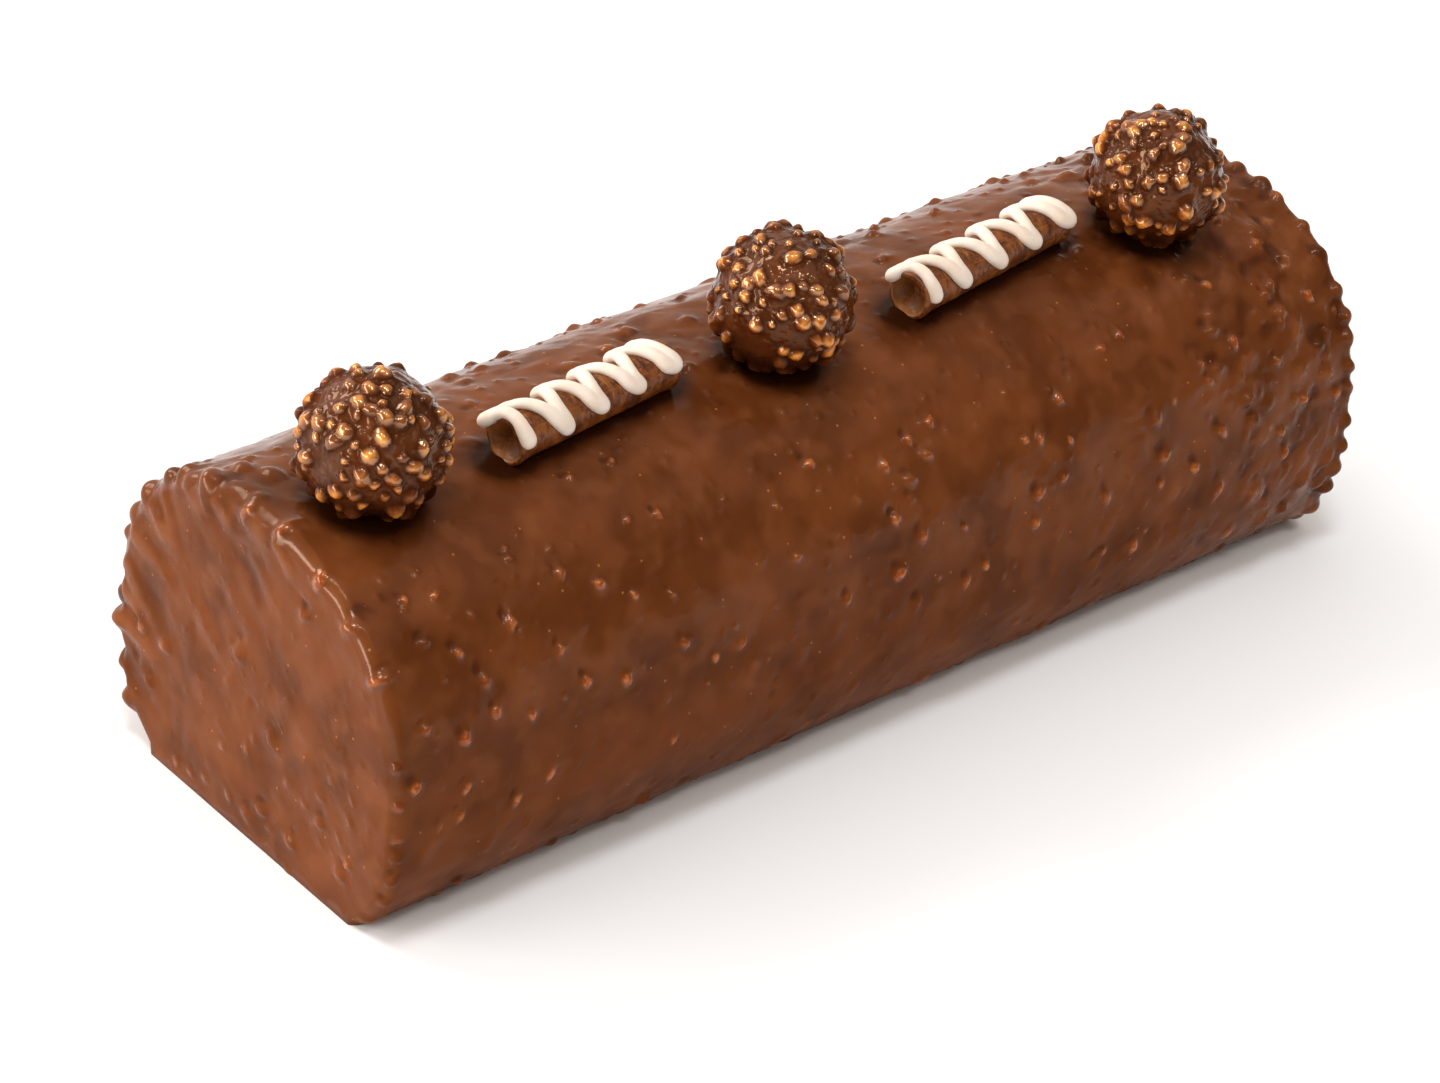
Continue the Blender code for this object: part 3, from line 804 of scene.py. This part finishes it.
def mesh_object(name, verts, faces):
    mesh = bpy.data.meshes.new(name)
    mesh.from_pydata(verts.tolist(), [], faces)
    mesh.update()
    return new_object(name, mesh)


def point_attribute(mesh, name, values):
    layer = mesh.attributes.new(name, "FLOAT", "POINT")
    layer.data.foreach_set("value", np.asarray(values, np.float32))


def grid_faces(rows, loop):
    """Quads between neighbouring rows of closed loops."""
    index = np.arange(rows * loop).reshape(rows, loop)
    after = np.roll(index, -1, axis=1)
    quads = np.stack([index[:-1], after[:-1], after[1:], index[1:]], axis=-1)
    return quads.reshape(-1, 4).tolist()


def with_modifiers(made):
    """Leaves the object with the mesh that its modifiers give."""
    graph = bpy.context.evaluated_depsgraph_get()
    mesh = bpy.data.meshes.new_from_object(made.evaluated_get(graph))
    made.modifiers.clear()
    made.data = mesh
    mesh.shade_smooth()
    return made


def make_roll():
    """The glazed roll: the bare form raised by its relief, as one closed surface."""
    places, normals = roll_grid()
    rows, loop = places.shape[:2]
    points, outward = places.reshape(-1, 3), normals.reshape(-1, 3)
    middles = np.array([(facing * HALF_LENGTH, 0, FACE_MIDDLE_HEIGHT) for facing in (-1, 1)])
    points = np.concatenate([points, middles])
    outward = np.concatenate([outward, [(-1, 0, 0), (1, 0, 0)]])
    height, follows = roll_relief(points, outward)
    on_floor = points[:, 2] == 0
    height[on_floor & (np.abs(outward[:, 0]) < 0.5)] = 0
    raised = points + outward * height[:, None]
    raised[:, 2] = np.where(on_floor, 0, np.maximum(raised[:, 2], 0))
    faces = grid_faces(rows, loop)
    last, tips = (rows - 1) * loop, rows * loop
    for k in range(loop):
        after = (k + 1) % loop
        faces.append((tips, after, k))
        faces.append((tips + 1, last + k, last + after))
    roll = mesh_object("roll_glaze", raised + np.array(SHIFT), faces)
    for name, values in follows.items():
        point_attribute(roll.data, name, values)
    fewer = roll.modifiers.new("fewer", "DECIMATE")
    fewer.ratio = ROLL_TRIANGLES / (2 * len(faces) - 2 * loop)
    return with_modifiers(roll)


# --- nut balls

def nut_clusters(rng):
    """Directions from a ball's middle to its nuts, most of them in twos and threes."""
    while True:
        drawn = np.array([rng.gauss(0, 1) for _ in range(3)])
        middle = drawn / np.linalg.norm(drawn)
        for _ in range(rng.choice((1, 1, 1, 2, 2, 3))):
            yield middle / np.linalg.norm(middle)
            middle = middle + 0.15 * np.array([rng.gauss(0, 1) for _ in range(3)])


def round_ball(divisions):
    """A ball's points, one metre from its middle, and its triangles."""
    bm = bmesh.new()
    bmesh.ops.create_icosphere(bm, subdivisions=divisions, radius=1)
    points = np.array([vert.co for vert in bm.verts])
    faces = np.array([[vert.index for vert in face.verts] for face in bm.faces])
    bm.free()
    return points, faces


def ball_relief(directions, rng):
    """Each direction's height over the ball's core, how golden it is, and how much painted crease
    shade it gets.
    """
    tree = search_tree(directions)
    core = BALL_CORE_RADIUS
    beads, skirts, tip, crown, near = (np.zeros(len(directions)) for _ in range(5))
    wanted = list(itertools.islice(nut_clusters(rng), BALL_NUTS * 6))
    for index in spaced(np.array(wanted) * core, BALL_NUT_SPACING)[:BALL_NUTS]:
        outward = wanted[index]
        radius = rng.choice(BALL_NUT_RADII) * rng.uniform(0.85, 1.1)
        nut = Nut(outward * core, outward, radius, 1, rng, 1.0)
        found = found_near(tree, outward, 3.4 * nut.radii[0] / core)
        if not found:
            continue
        q2 = nut.shape(directions[found] * core - outward * core)
        bead = np.clip(1 - q2, 0, 1) ** 0.85
        skirt = np.clip(1 - q2 / 4.0, 0, 1) ** 2.0
        top = radius * rng.uniform(0.70, 1.0)
        lift_to(beads, found, 0.64 * top * bead)
        join_height(skirts, found, 0.55 * top * skirt)
        bare = min(1.05, max(0.25, rng.gauss(0.82, 0.22)))
        lift_to(tip, found, bead * bare)
        lift_to(crown, found, bead)
        lift_to(near, found, np.clip(1 - q2 / 2.8, 0, 1))
    # A ring round each nut's foot where the coat's colour is darkened: painted shade.
    crease_shade = near * (1 - smooth_step(crown, 0.0, 0.5))
    return beads + np.minimum(skirts, BALL_SKIRT_LIMIT), tip, crease_shade


def make_ball(side):
    rng = random.Random(f"{RANDOM_SEED} ball {side}")
    foot, normal = surface_at(*BALL_PLACES[side])
    centre = foot + normal * (BALL_CORE_RADIUS - BALL_SUNK)
    directions, faces = round_ball(BALL_DIVISIONS)
    directions /= np.linalg.norm(directions, axis=1, keepdims=True)
    height, tip, crease_shade = ball_relief(directions, rng)
    rise = BALL_CORE_RADIUS - BALL_INSET + sum(
        tall * noise_at(directions, length, rng.uniform(0, 50)) for tall, length in BALL_UNEVEN
    )
    points = np.array(centre) + directions * (rise + height)[:, None]
    ball = mesh_object(f"dressed_ball_{side}", points, faces.tolist())
    ball.data.shade_smooth()
    upward = smooth_step(directions[:, 2], -0.60, 0.30)
    upward *= 1 - 0.85 * smooth_step(directions[:, 1], 0.0, 0.65)
    # How far a point faces the roll: the ball's colour paints shade there.
    low = smooth_step(-(directions @ np.array(normal)), 0.10, 0.70)
    for name, values in {"tip": tip, "crease_shade": crease_shade, "upward": upward, "low": low}.items():
        point_attribute(ball.data, name, values)
    return ball


# --- wafer rolls and their icing

def wafer_frame(side):
    """A wafer's matrix and length: local X runs along its axis and Z points up."""
    ends = []
    for spot in WAFER_PLACES[side]:
        foot, normal = surface_at(*spot)
        ends.append(foot + normal * (WAFER_RADIUS - WAFER_SUNK))
    run = ends[1] - ends[0]
    along = run.normalized()
    front = along.cross(Vector((0, 0, 1))).normalized()
    up = front.cross(along)
    turn = Matrix((along, -front, up)).transposed().to_4x4()
    return Matrix.Translation(ends[0]) @ turn, run.length


def make_wafer(side):
    """A rolled wafer: a tube with a rolled seam, uneven rims and a hollow at each end."""
    matrix, length = wafer_frame(side)
    rings = []
    angles = np.linspace(0, 2 * math.pi, WAFER_AROUND, endpoint=False)
    bore = WAFER_RADIUS - WAFER_WALL
    seam = WAFER_SEAM * (1 - ((angles + WAFER_SEAM_TURN) % (2 * math.pi)) / (2 * math.pi))
    lip = WAFER_WALL / 2
    seed = 3.0 if side == "left" else 9.0
    rim = [noise.noise(Vector((math.cos(a), math.sin(a), seed))) for a in angles]
    rim = WAFER_RIM_UNEVEN * np.array(rim)

    def ring(x, radius):
        place = x / WAFER_WOBBLE_LENGTH
        spots = [Vector((place, 1.3 * math.cos(a), 1.3 * math.sin(a) + seed)) for a in angles]
        wobble = np.array([noise.noise(spot) + 0.5 * noise.noise(spot * 3.1) for spot in spots])
        end = smooth_step(abs(x - length / 2), length / 2 - WAFER_RIM_REACH, length / 2)
        r = radius - seam + WAFER_WOBBLE * wobble * min(1, radius / WAFER_RADIUS) ** 3
        r = r + WAFER_FLARE * end
        shift = rim * end * (-1 if x < length / 2 else 1)
        rings.append(np.stack([x + shift, r * np.sin(angles), r * np.cos(angles)], axis=1))

    half = []
    for share in WAFER_HOLLOW_SHARES:
        half.append((WAFER_HOLLOW_DEPTH * (1 - share**2.4) ** 0.7 + lip, bore * share))
    for k in range(WAFER_RIM_STEPS + 1):
        turn = math.pi * k / WAFER_RIM_STEPS
        half.append((lip * (1 - math.sin(turn)), bore + lip - lip * math.cos(turn)))
    body = [
        (lip + (length - 2 * lip) * k / WAFER_BODY_STEPS, WAFER_RADIUS)
        for k in range(1, WAFER_BODY_STEPS)
    ]
    far = [(length - x, radius) for x, radius in reversed(half)]
    for x, radius in half + body + far:
        ring(x, radius)
    faces = [tuple(reversed(quad)) for quad in grid_faces(len(rings), WAFER_AROUND)]
    faces.append(tuple(range(WAFER_AROUND)))
    last = (len(rings) - 1) * WAFER_AROUND
    faces.append(tuple(range(last + WAFER_AROUND - 1, last - 1, -1)))
    spots = np.concatenate(rings)
    wafer = mesh_object(f"wafer_{side}", spots, faces)
    wafer.data.shade_smooth()
    wafer.matrix_world = matrix
    # Marks the ends' hollows, which the material paints lighter: painted light falling into them.
    inside = np.hypot(spots[:, 1], spots[:, 2]) < bore + lip
    depth = np.minimum(spots[:, 0], length - spots[:, 0])
    near_end = smooth_step(-depth, -WAFER_HOLLOW_DEPTH * 1.6, 0.0)
    point_attribute(wafer.data, "end", inside * near_end)
    return wafer


def on_wafer(x, angle, lift):
    """A point over the wafer's surface, in its frame."""
    reach = WAFER_RADIUS + lift
    return Vector((x, -reach * math.sin(angle), reach * math.cos(angle)))


def icing_path(side):
    """The zigzag's points in order: place along the wafer, and degrees from its top."""
    turns = ICING_FRONT_TURNS[side]
    first, last = turns[0][0], turns[-1][0]
    pitch = (last - first) / (len(turns) - 1)
    path = [turns[0]]
    path += [(first + share * pitch, degrees) for share, degrees in ICING_START]
    for (x, _), turn in zip(turns, turns[1:]):
        loop = ICING_LOOP if x > first else ICING_LOOP[4:]
        path += [(x + share * (turn[0] - x), degrees) for share, degrees in loop]
        path.append(turn)
    path += [(last + share * pitch, degrees) for share, degrees in ICING_END]
    return path


def smooth_path(points, steps):
    """Points along a smooth curve through the given ones."""
    padded = np.array([points[0], *points, points[-1]], float)
    for a, b, c, d in zip(padded, padded[1:], padded[2:], padded[3:]):
        for t in (k / steps for k in range(steps)):
            bend = (2 * a - 5 * b + 4 * c - d) * t**2 + (3 * b - a - 3 * c + d) * t**3
            yield 0.5 * (2 * b + (c - a) * t + bend)
    yield padded[-1]


def make_icing(side):
    """The thick zigzag of icing: beads laid close along its path, then melted into one skin."""
    matrix, _ = wafer_frame(side)
    ball, triangles = round_ball(BEAD_DIVISIONS)
    points, faces = [], []
    least = min(angle for _, angle in ICING_FRONT_TURNS[side]) - 12
    for x, degrees in smooth_path(icing_path(side), ICING_STEPS):
        angle = math.radians(degrees)
        swell = float(smooth_step(degrees, least - 25, least + 12))
        radius = ICING_RADIUS + (ICING_TURN_RADIUS - ICING_RADIUS) * swell
        radius *= 1 + 0.24 * float(smooth_step(-degrees, 36, 54))
        radius *= 1 + 0.05 * noise.noise(Vector((x / 0.004, angle, 0)))
        place = on_wafer(x, angle, ICING_LIFT)
        stand = Vector((0, place.y, place.z)).to_track_quat("Z", "Y").to_matrix()
        flat = stand @ Matrix.Diagonal((1, 1, ICING_FLATNESS)) * radius
        faces.append(triangles + len(points) * len(ball))
        points.append(ball @ np.array(flat).T + np.array(place))
    beads = mesh_object(f"icing_{side}", np.concatenate(points), np.concatenate(faces).tolist())
    melt = beads.modifiers.new("melt", "REMESH")
    melt.mode = "VOXEL"
    melt.voxel_size = ICING_VOXEL
    smooth = beads.modifiers.new("smooth", "SMOOTH")
    smooth.iterations = 8
    smooth.factor = 0.6
    icing = with_modifiers(beads)
    icing.data.transform(matrix)
    return icing


# --- materials

class Nodes:
    """A node tree, with short calls for the nodes used here."""

    def __init__(self, owner, space="Object"):
        owner.use_nodes = True
        self.owner, self.tree = owner, owner.node_tree
        self.place = self.new("TexCoord").outputs[space]

    def link(self, value, socket):
        if isinstance(value, bpy.types.NodeSocket):
            self.tree.links.new(value, socket)
        else:
            socket.default_value = value

    def new(self, kind, **inputs):
        """A new node with its inputs linked or set, by their names with _ for a space."""
        node = self.tree.nodes.new("ShaderNode" + kind)
        for name, value in inputs.items():
            self.link(value, node.inputs[name.replace("_", " ")])
        return node

    def noise(self, size, detail=2.0, roughness=0.5, distortion=0.0, place=None):
        node = self.new(
            "TexNoise", Vector=place or self.place, Scale=1 / size, Detail=detail,
            Roughness=roughness, Distortion=distortion,
        )
        return node.outputs["Fac"]

    def cells(self, size):
        return self.new("TexVoronoi", Vector=self.place, Scale=1 / size).outputs["Distance"]

    def range(self, value, low, high, out_low=0.0, out_high=1.0):
        node = self.new(
            "MapRange", Value=value, From_Min=low, From_Max=high, To_Min=out_low, To_Max=out_high
        )
        node.interpolation_type = "SMOOTHSTEP"
        return node.outputs["Result"]

    def math(self, operation, first, second):
        node = self.tree.nodes.new("ShaderNodeMath")
        node.operation = operation
        self.link(first, node.inputs[0])
        self.link(second, node.inputs[1])
        return node.outputs["Value"]

    def mix(self, factor, first, second):
        node = self.tree.nodes.new("ShaderNodeMix")
        node.data_type = "RGBA"
        self.link(factor, node.inputs["Factor"])
        for value, socket in ((first, node.inputs["A"]), (second, node.inputs["B"])):
            self.link(value if isinstance(value, bpy.types.NodeSocket) else (*value, 1), socket)
        return node.outputs["Result"]

    def times(self, first, second):
        return self.math("MULTIPLY", first, second)

    def attribute(self, name):
        node = self.new("Attribute")
        node.attribute_name = name
        return node.outputs["Fac"]

    def stretched(self, scale, turn):
        return self.new("Mapping", Vector=self.place, Scale=scale, Rotation=turn).outputs["Vector"]

    def bump(self, height, depth, **after):
        return self.new("Bump", Height=height, Distance=depth, **after).outputs["Normal"]

    def layers(self, color, *layers):
        """Lays colours over the first one, each by its own factor."""
        for factor, tone in layers:
            color = self.mix(factor, color, tone)
        return color

    def finish(self, kind="Principled BSDF", **values):
        """Links or sets the shading node's inputs, and gives the material or the world."""
        for name, value in values.items():
            self.link(value, self.tree.nodes[kind].inputs[name.replace("_", " ")])
        return self.owner


def material(name):
    return Nodes(bpy.data.materials.new(name))


def glaze_material():
    """Milk chocolate with nuts: drifting browns, nuts that glow through the glaze, fine specks,
    painted shade in hollows and round the toppings' feet, and painted highlights on ridges.
    """
    n = material("milk_glaze")
    raised, gloss = n.attribute("raised"), n.attribute("gloss")
    drift = n.range(n.noise(0.016, 1.5), 0.34, 0.66)
    specks = n.range(n.cells(0.0046), 0.085, 0.04)
    patch = n.range(n.noise(0.0013, 1.0), 0.42, 0.62)
    color = n.layers(
        n.mix(drift, (0.097, 0.0258, 0.0058), (0.144, 0.0402, 0.0104)),
        (n.times(n.range(n.noise(0.0065, 1.0, 0.4), 0.45, 0.72), 0.45), (0.186, 0.0580, 0.0190)),
        # Painted shade in the relief's hollows, then painted highlight on its ridges.
        (n.range(raised, -0.15, -1.0, 0.0, 0.80), (0.052, 0.0124, 0.0030)),
        (n.range(raised, 0.3, 1.4, 0.0, 0.6), (0.215, 0.0710, 0.0250)),
        (n.times(specks, 0.55), (0.46, 0.16, 0.045)),
        (
            n.range(n.attribute("nut_shows"), 0.15, 0.80, 0.0, 0.85),
            n.mix(patch, (0.240, 0.046, 0.007), (0.400, 0.110, 0.018)),
        ),
        # Painted shadow and painted dark reflection round the toppings' feet.
        (n.times(n.attribute("painted_topping_shade"), 0.90), (0.014, 0.0032, 0.0010)),
    )
    rough = n.range(n.noise(0.009, 3.0, 0.6), 0.3, 0.7, 0.20, 0.29)
    rough = n.math("SUBTRACT", rough, n.times(gloss, 0.13))
    rough = n.math("ADD", rough, n.range(gloss, 0.0, 0.22, 0.20, 0.0))
    fine = n.bump(specks, 0.00008, Normal=n.bump(n.noise(0.0028), 0.00006))
    return n.finish(
        Base_Color=color, Roughness=rough, Normal=fine, IOR=1.46,
        Specular_IOR_Level=n.range(gloss, 0.0, 1.0, *GLAZE_GLOSS),
        Specular_Tint=(1.0, 0.80, 0.66, 1),
    )


def ball_material():
    """Chocolate, and nut tips that shine golden through a thin coat, with painted shade in the
    creases round them and on the underside.
    """
    n = material("ball_glaze")
    bare, crease_shade = n.attribute("tip"), n.attribute("crease_shade")
    amber, tip = n.range(bare, 0.18, 0.62), n.range(bare, 0.50, 0.98)
    patch = n.range(n.noise(0.0018), 0.38, 0.62)
    drift = n.range(n.noise(0.008), 0.3, 0.7)
    color = n.layers(
        n.mix(drift, (0.056, 0.0132, 0.0030), (0.100, 0.0250, 0.0062)),
        (amber, n.mix(patch, (0.130, 0.030, 0.005), (0.235, 0.062, 0.009))),
        (tip, n.mix(patch, (0.330, 0.088, 0.010), (0.680, 0.250, 0.036))),
        # Painted shade in the creases round the nuts' feet.
        (n.times(crease_shade, 0.7), (0.022, 0.0050, 0.0014)),
        # Painted shade on the ball's underside, where it sits on the roll.
        (n.times(n.attribute("low"), 0.9), (0.016, 0.0038, 0.0011)),
    )
    gloss = n.times(n.range(bare, 0.0, 0.7, *BALL_GLOSS), n.attribute("upward"))
    return n.finish(
        Base_Color=color,
        Roughness=n.range(n.noise(0.004), 0.3, 0.7, 0.08, 0.17),
        Normal=n.bump(n.noise(0.0012, 1.0), 0.00010),
        Specular_Tint=n.mix(tip, (1.0, 0.66, 0.42), (1.0, 0.74, 0.38)),
        Specular_IOR_Level=n.times(gloss, n.range(crease_shade, 0.0, 0.8, 1.0, 0.2)),
        IOR=1.9,
    )


def wafer_material():
    """Marbled baked brown with streaks that run round the roll, and the ends' hollows painted
    lighter, as painted light falling into them.
    """
    n = material("baked_wafer")
    streaks = n.noise(1.0, 4.0, 0.6, 0.8, n.stretched((420, 130, 130), (0.0, 0.0, 0.5)))
    blotch = n.range(n.noise(0.0042, 3.0, 0.6, 0.5), 0.35, 0.65)
    color = n.layers(
        n.mix(blotch, (0.100, 0.0245, 0.0048), (0.235, 0.070, 0.0130)),
        (n.range(streaks, 0.53, 0.72, 0.0, 0.75), (0.38, 0.145, 0.036)),
        (n.range(streaks, 0.47, 0.33, 0.0, 0.9), (0.048, 0.011, 0.0032)),
        (n.range(n.noise(0.0012, 3.0, 0.6, 0.6), 0.52, 0.66, 0.0, 0.75), (0.060, 0.0130, 0.0030)),
        (n.range(n.noise(0.0016, 2.0, 0.6, 1.2), 0.60, 0.72, 0.0, 0.5), (0.420, 0.170, 0.048)),
        # Painted light in the ends' hollows.
        (n.times(n.attribute("end"), 0.6), (0.400, 0.150, 0.034)),
    )
    return n.finish(
        Base_Color=color,
        Roughness=n.range(n.noise(0.003), 0.3, 0.7, 0.28, 0.42),
        Normal=n.bump(n.noise(0.0007, 3.0, 0.6), 0.00006, Normal=n.bump(streaks, 0.00020)),
        Specular_IOR_Level=0.28,
    )


def icing_material():
    """Set white icing: creamy, softly translucent, barely uneven."""
    n = material("white_icing")
    drift = n.range(n.noise(0.004), 0.35, 0.65)
    return n.finish(
        Base_Color=n.mix(drift, (0.78, 0.670, 0.570), (0.82, 0.740, 0.650)),
        Roughness=n.range(n.noise(0.003), 0.3, 0.7, 0.34, 0.46),
        Normal=n.bump(n.noise(0.0016), 0.00005),
        Specular_IOR_Level=0.3,
        Subsurface_Weight=0.3,
        Subsurface_Radius=(1.0, 0.7, 0.45),
        Subsurface_Scale=0.0015,
    )


def dress(piece, material, slot, *nodes):
    """Gives a piece its material and its body, and lets it stand for solids; the slot is not used.
    """
    piece.data.materials.clear()
    piece.data.materials.append(material)
    if nodes:
        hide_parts(*nodes)
    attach(piece, BODY)


# --- stage, light and camera

def make_stage():
    """A plain pale floor."""
    size = 6.0
    corners = np.array([(-size, -size, 0), (size, -size, 0), (size, size, 0), (-size, size, 0)])
    floor = mesh_object("floor", corners, [(0, 1, 2, 3)])
    pale = material("pale_floor").finish(
        Base_Color=(0.850, 0.882, 0.918, 1), Roughness=0.9, Specular_IOR_Level=0.0
    )
    floor.data.materials.append(pale)
    floor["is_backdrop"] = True


def new_lamp(name, kind, strength, color):
    light = bpy.data.lights.new(name, kind)
    light.energy = strength
    light.color = color
    return new_object(name, light)


def make_sun(name, towards, strength, spread, color):
    """A soft distant light that comes from a direction, with its disc's width as an angle."""
    lamp = new_lamp(name, "SUN", strength, color)
    lamp.data.angle = math.radians(spread)
    lamp.rotation_euler = Vector(towards).to_track_quat("Z", "Y").to_euler()


def make_world():
    """Soft studio surroundings: bright behind the roll, dim and warm in front of it."""
    n = Nodes(bpy.data.worlds.new("studio"), "Generated")
    behind = n.new("SeparateXYZ", Vector=n.place).outputs["Y"]
    glow = n.range(behind, 0.05, 0.65, 0.29, 0.88)
    color = n.mix(glow, (1.0, 0.74, 0.56), (1.0, 0.93, 0.87))
    bpy.context.scene.world = n.finish("Background", Strength=glow, Color=color)


def make_strip(name, towards, distance, power, size, tilt, color):
    """A long softbox at a distance from the roll in a direction, turned in its plane by a tilt."""
    lamp = new_lamp(name, "AREA", power, color)
    lamp.data.shape = "RECTANGLE"
    lamp.data.size, lamp.data.size_y = size
    way = Vector(towards).normalized()
    lamp.location = way * distance
    turn = way.to_track_quat("Z", "Y") @ Quaternion((0, 0, 1), math.radians(-tilt))
    lamp.rotation_euler = turn.to_euler()


def make_lights():
    make_world()
    make_strip("softbox", (-0.92, 0.14, 0.36), 2.5, 54, (2.8, 0.56), 24, (1.0, 0.90, 0.83))
    for name, values in SUNS.items():
        make_sun(name, *values)


def make_camera():
    """The photograph's camera."""
    data = bpy.data.cameras.new("camera")
    data.sensor_width = SENSOR_WIDTH
    data.lens = FOCAL_PIXELS / IMAGE_WIDTH * SENSOR_WIDTH
    data.clip_start, data.clip_end = CAMERA_CLIP
    camera = new_object("camera", data)
    turn = Matrix(camera_axes()).transposed().to_4x4()
    camera.matrix_world = Matrix.Translation(CAMERA_PLACE + SHIFT) @ turn
    bpy.context.scene.camera = camera


def main():
    make_camera()
    dress(make_roll(), glaze_material(), "nut_glaze", "glazed_roll")
    coating = ball_material()
    for side in BALL_PLACES:
        dress(make_ball(side), coating, "ball_coating", f"nut_ball_{side}")
    baked, sweet = wafer_material(), icing_material()
    for side in WAFER_PLACES:
        dress(make_wafer(side), baked, "wafer", f"wafer_roll_{side}")
        dress(make_icing(side), sweet, "icing")
    make_stage()
    make_lights()
    scene = bpy.context.scene
    scene.view_settings.view_transform = "Standard"
    scene.view_settings.look = "None"


main()
boxes = {"cad": CAD_BOX, "visual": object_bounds()}
{name: [list(corner) for corner in box] for name, box in boxes.items()}
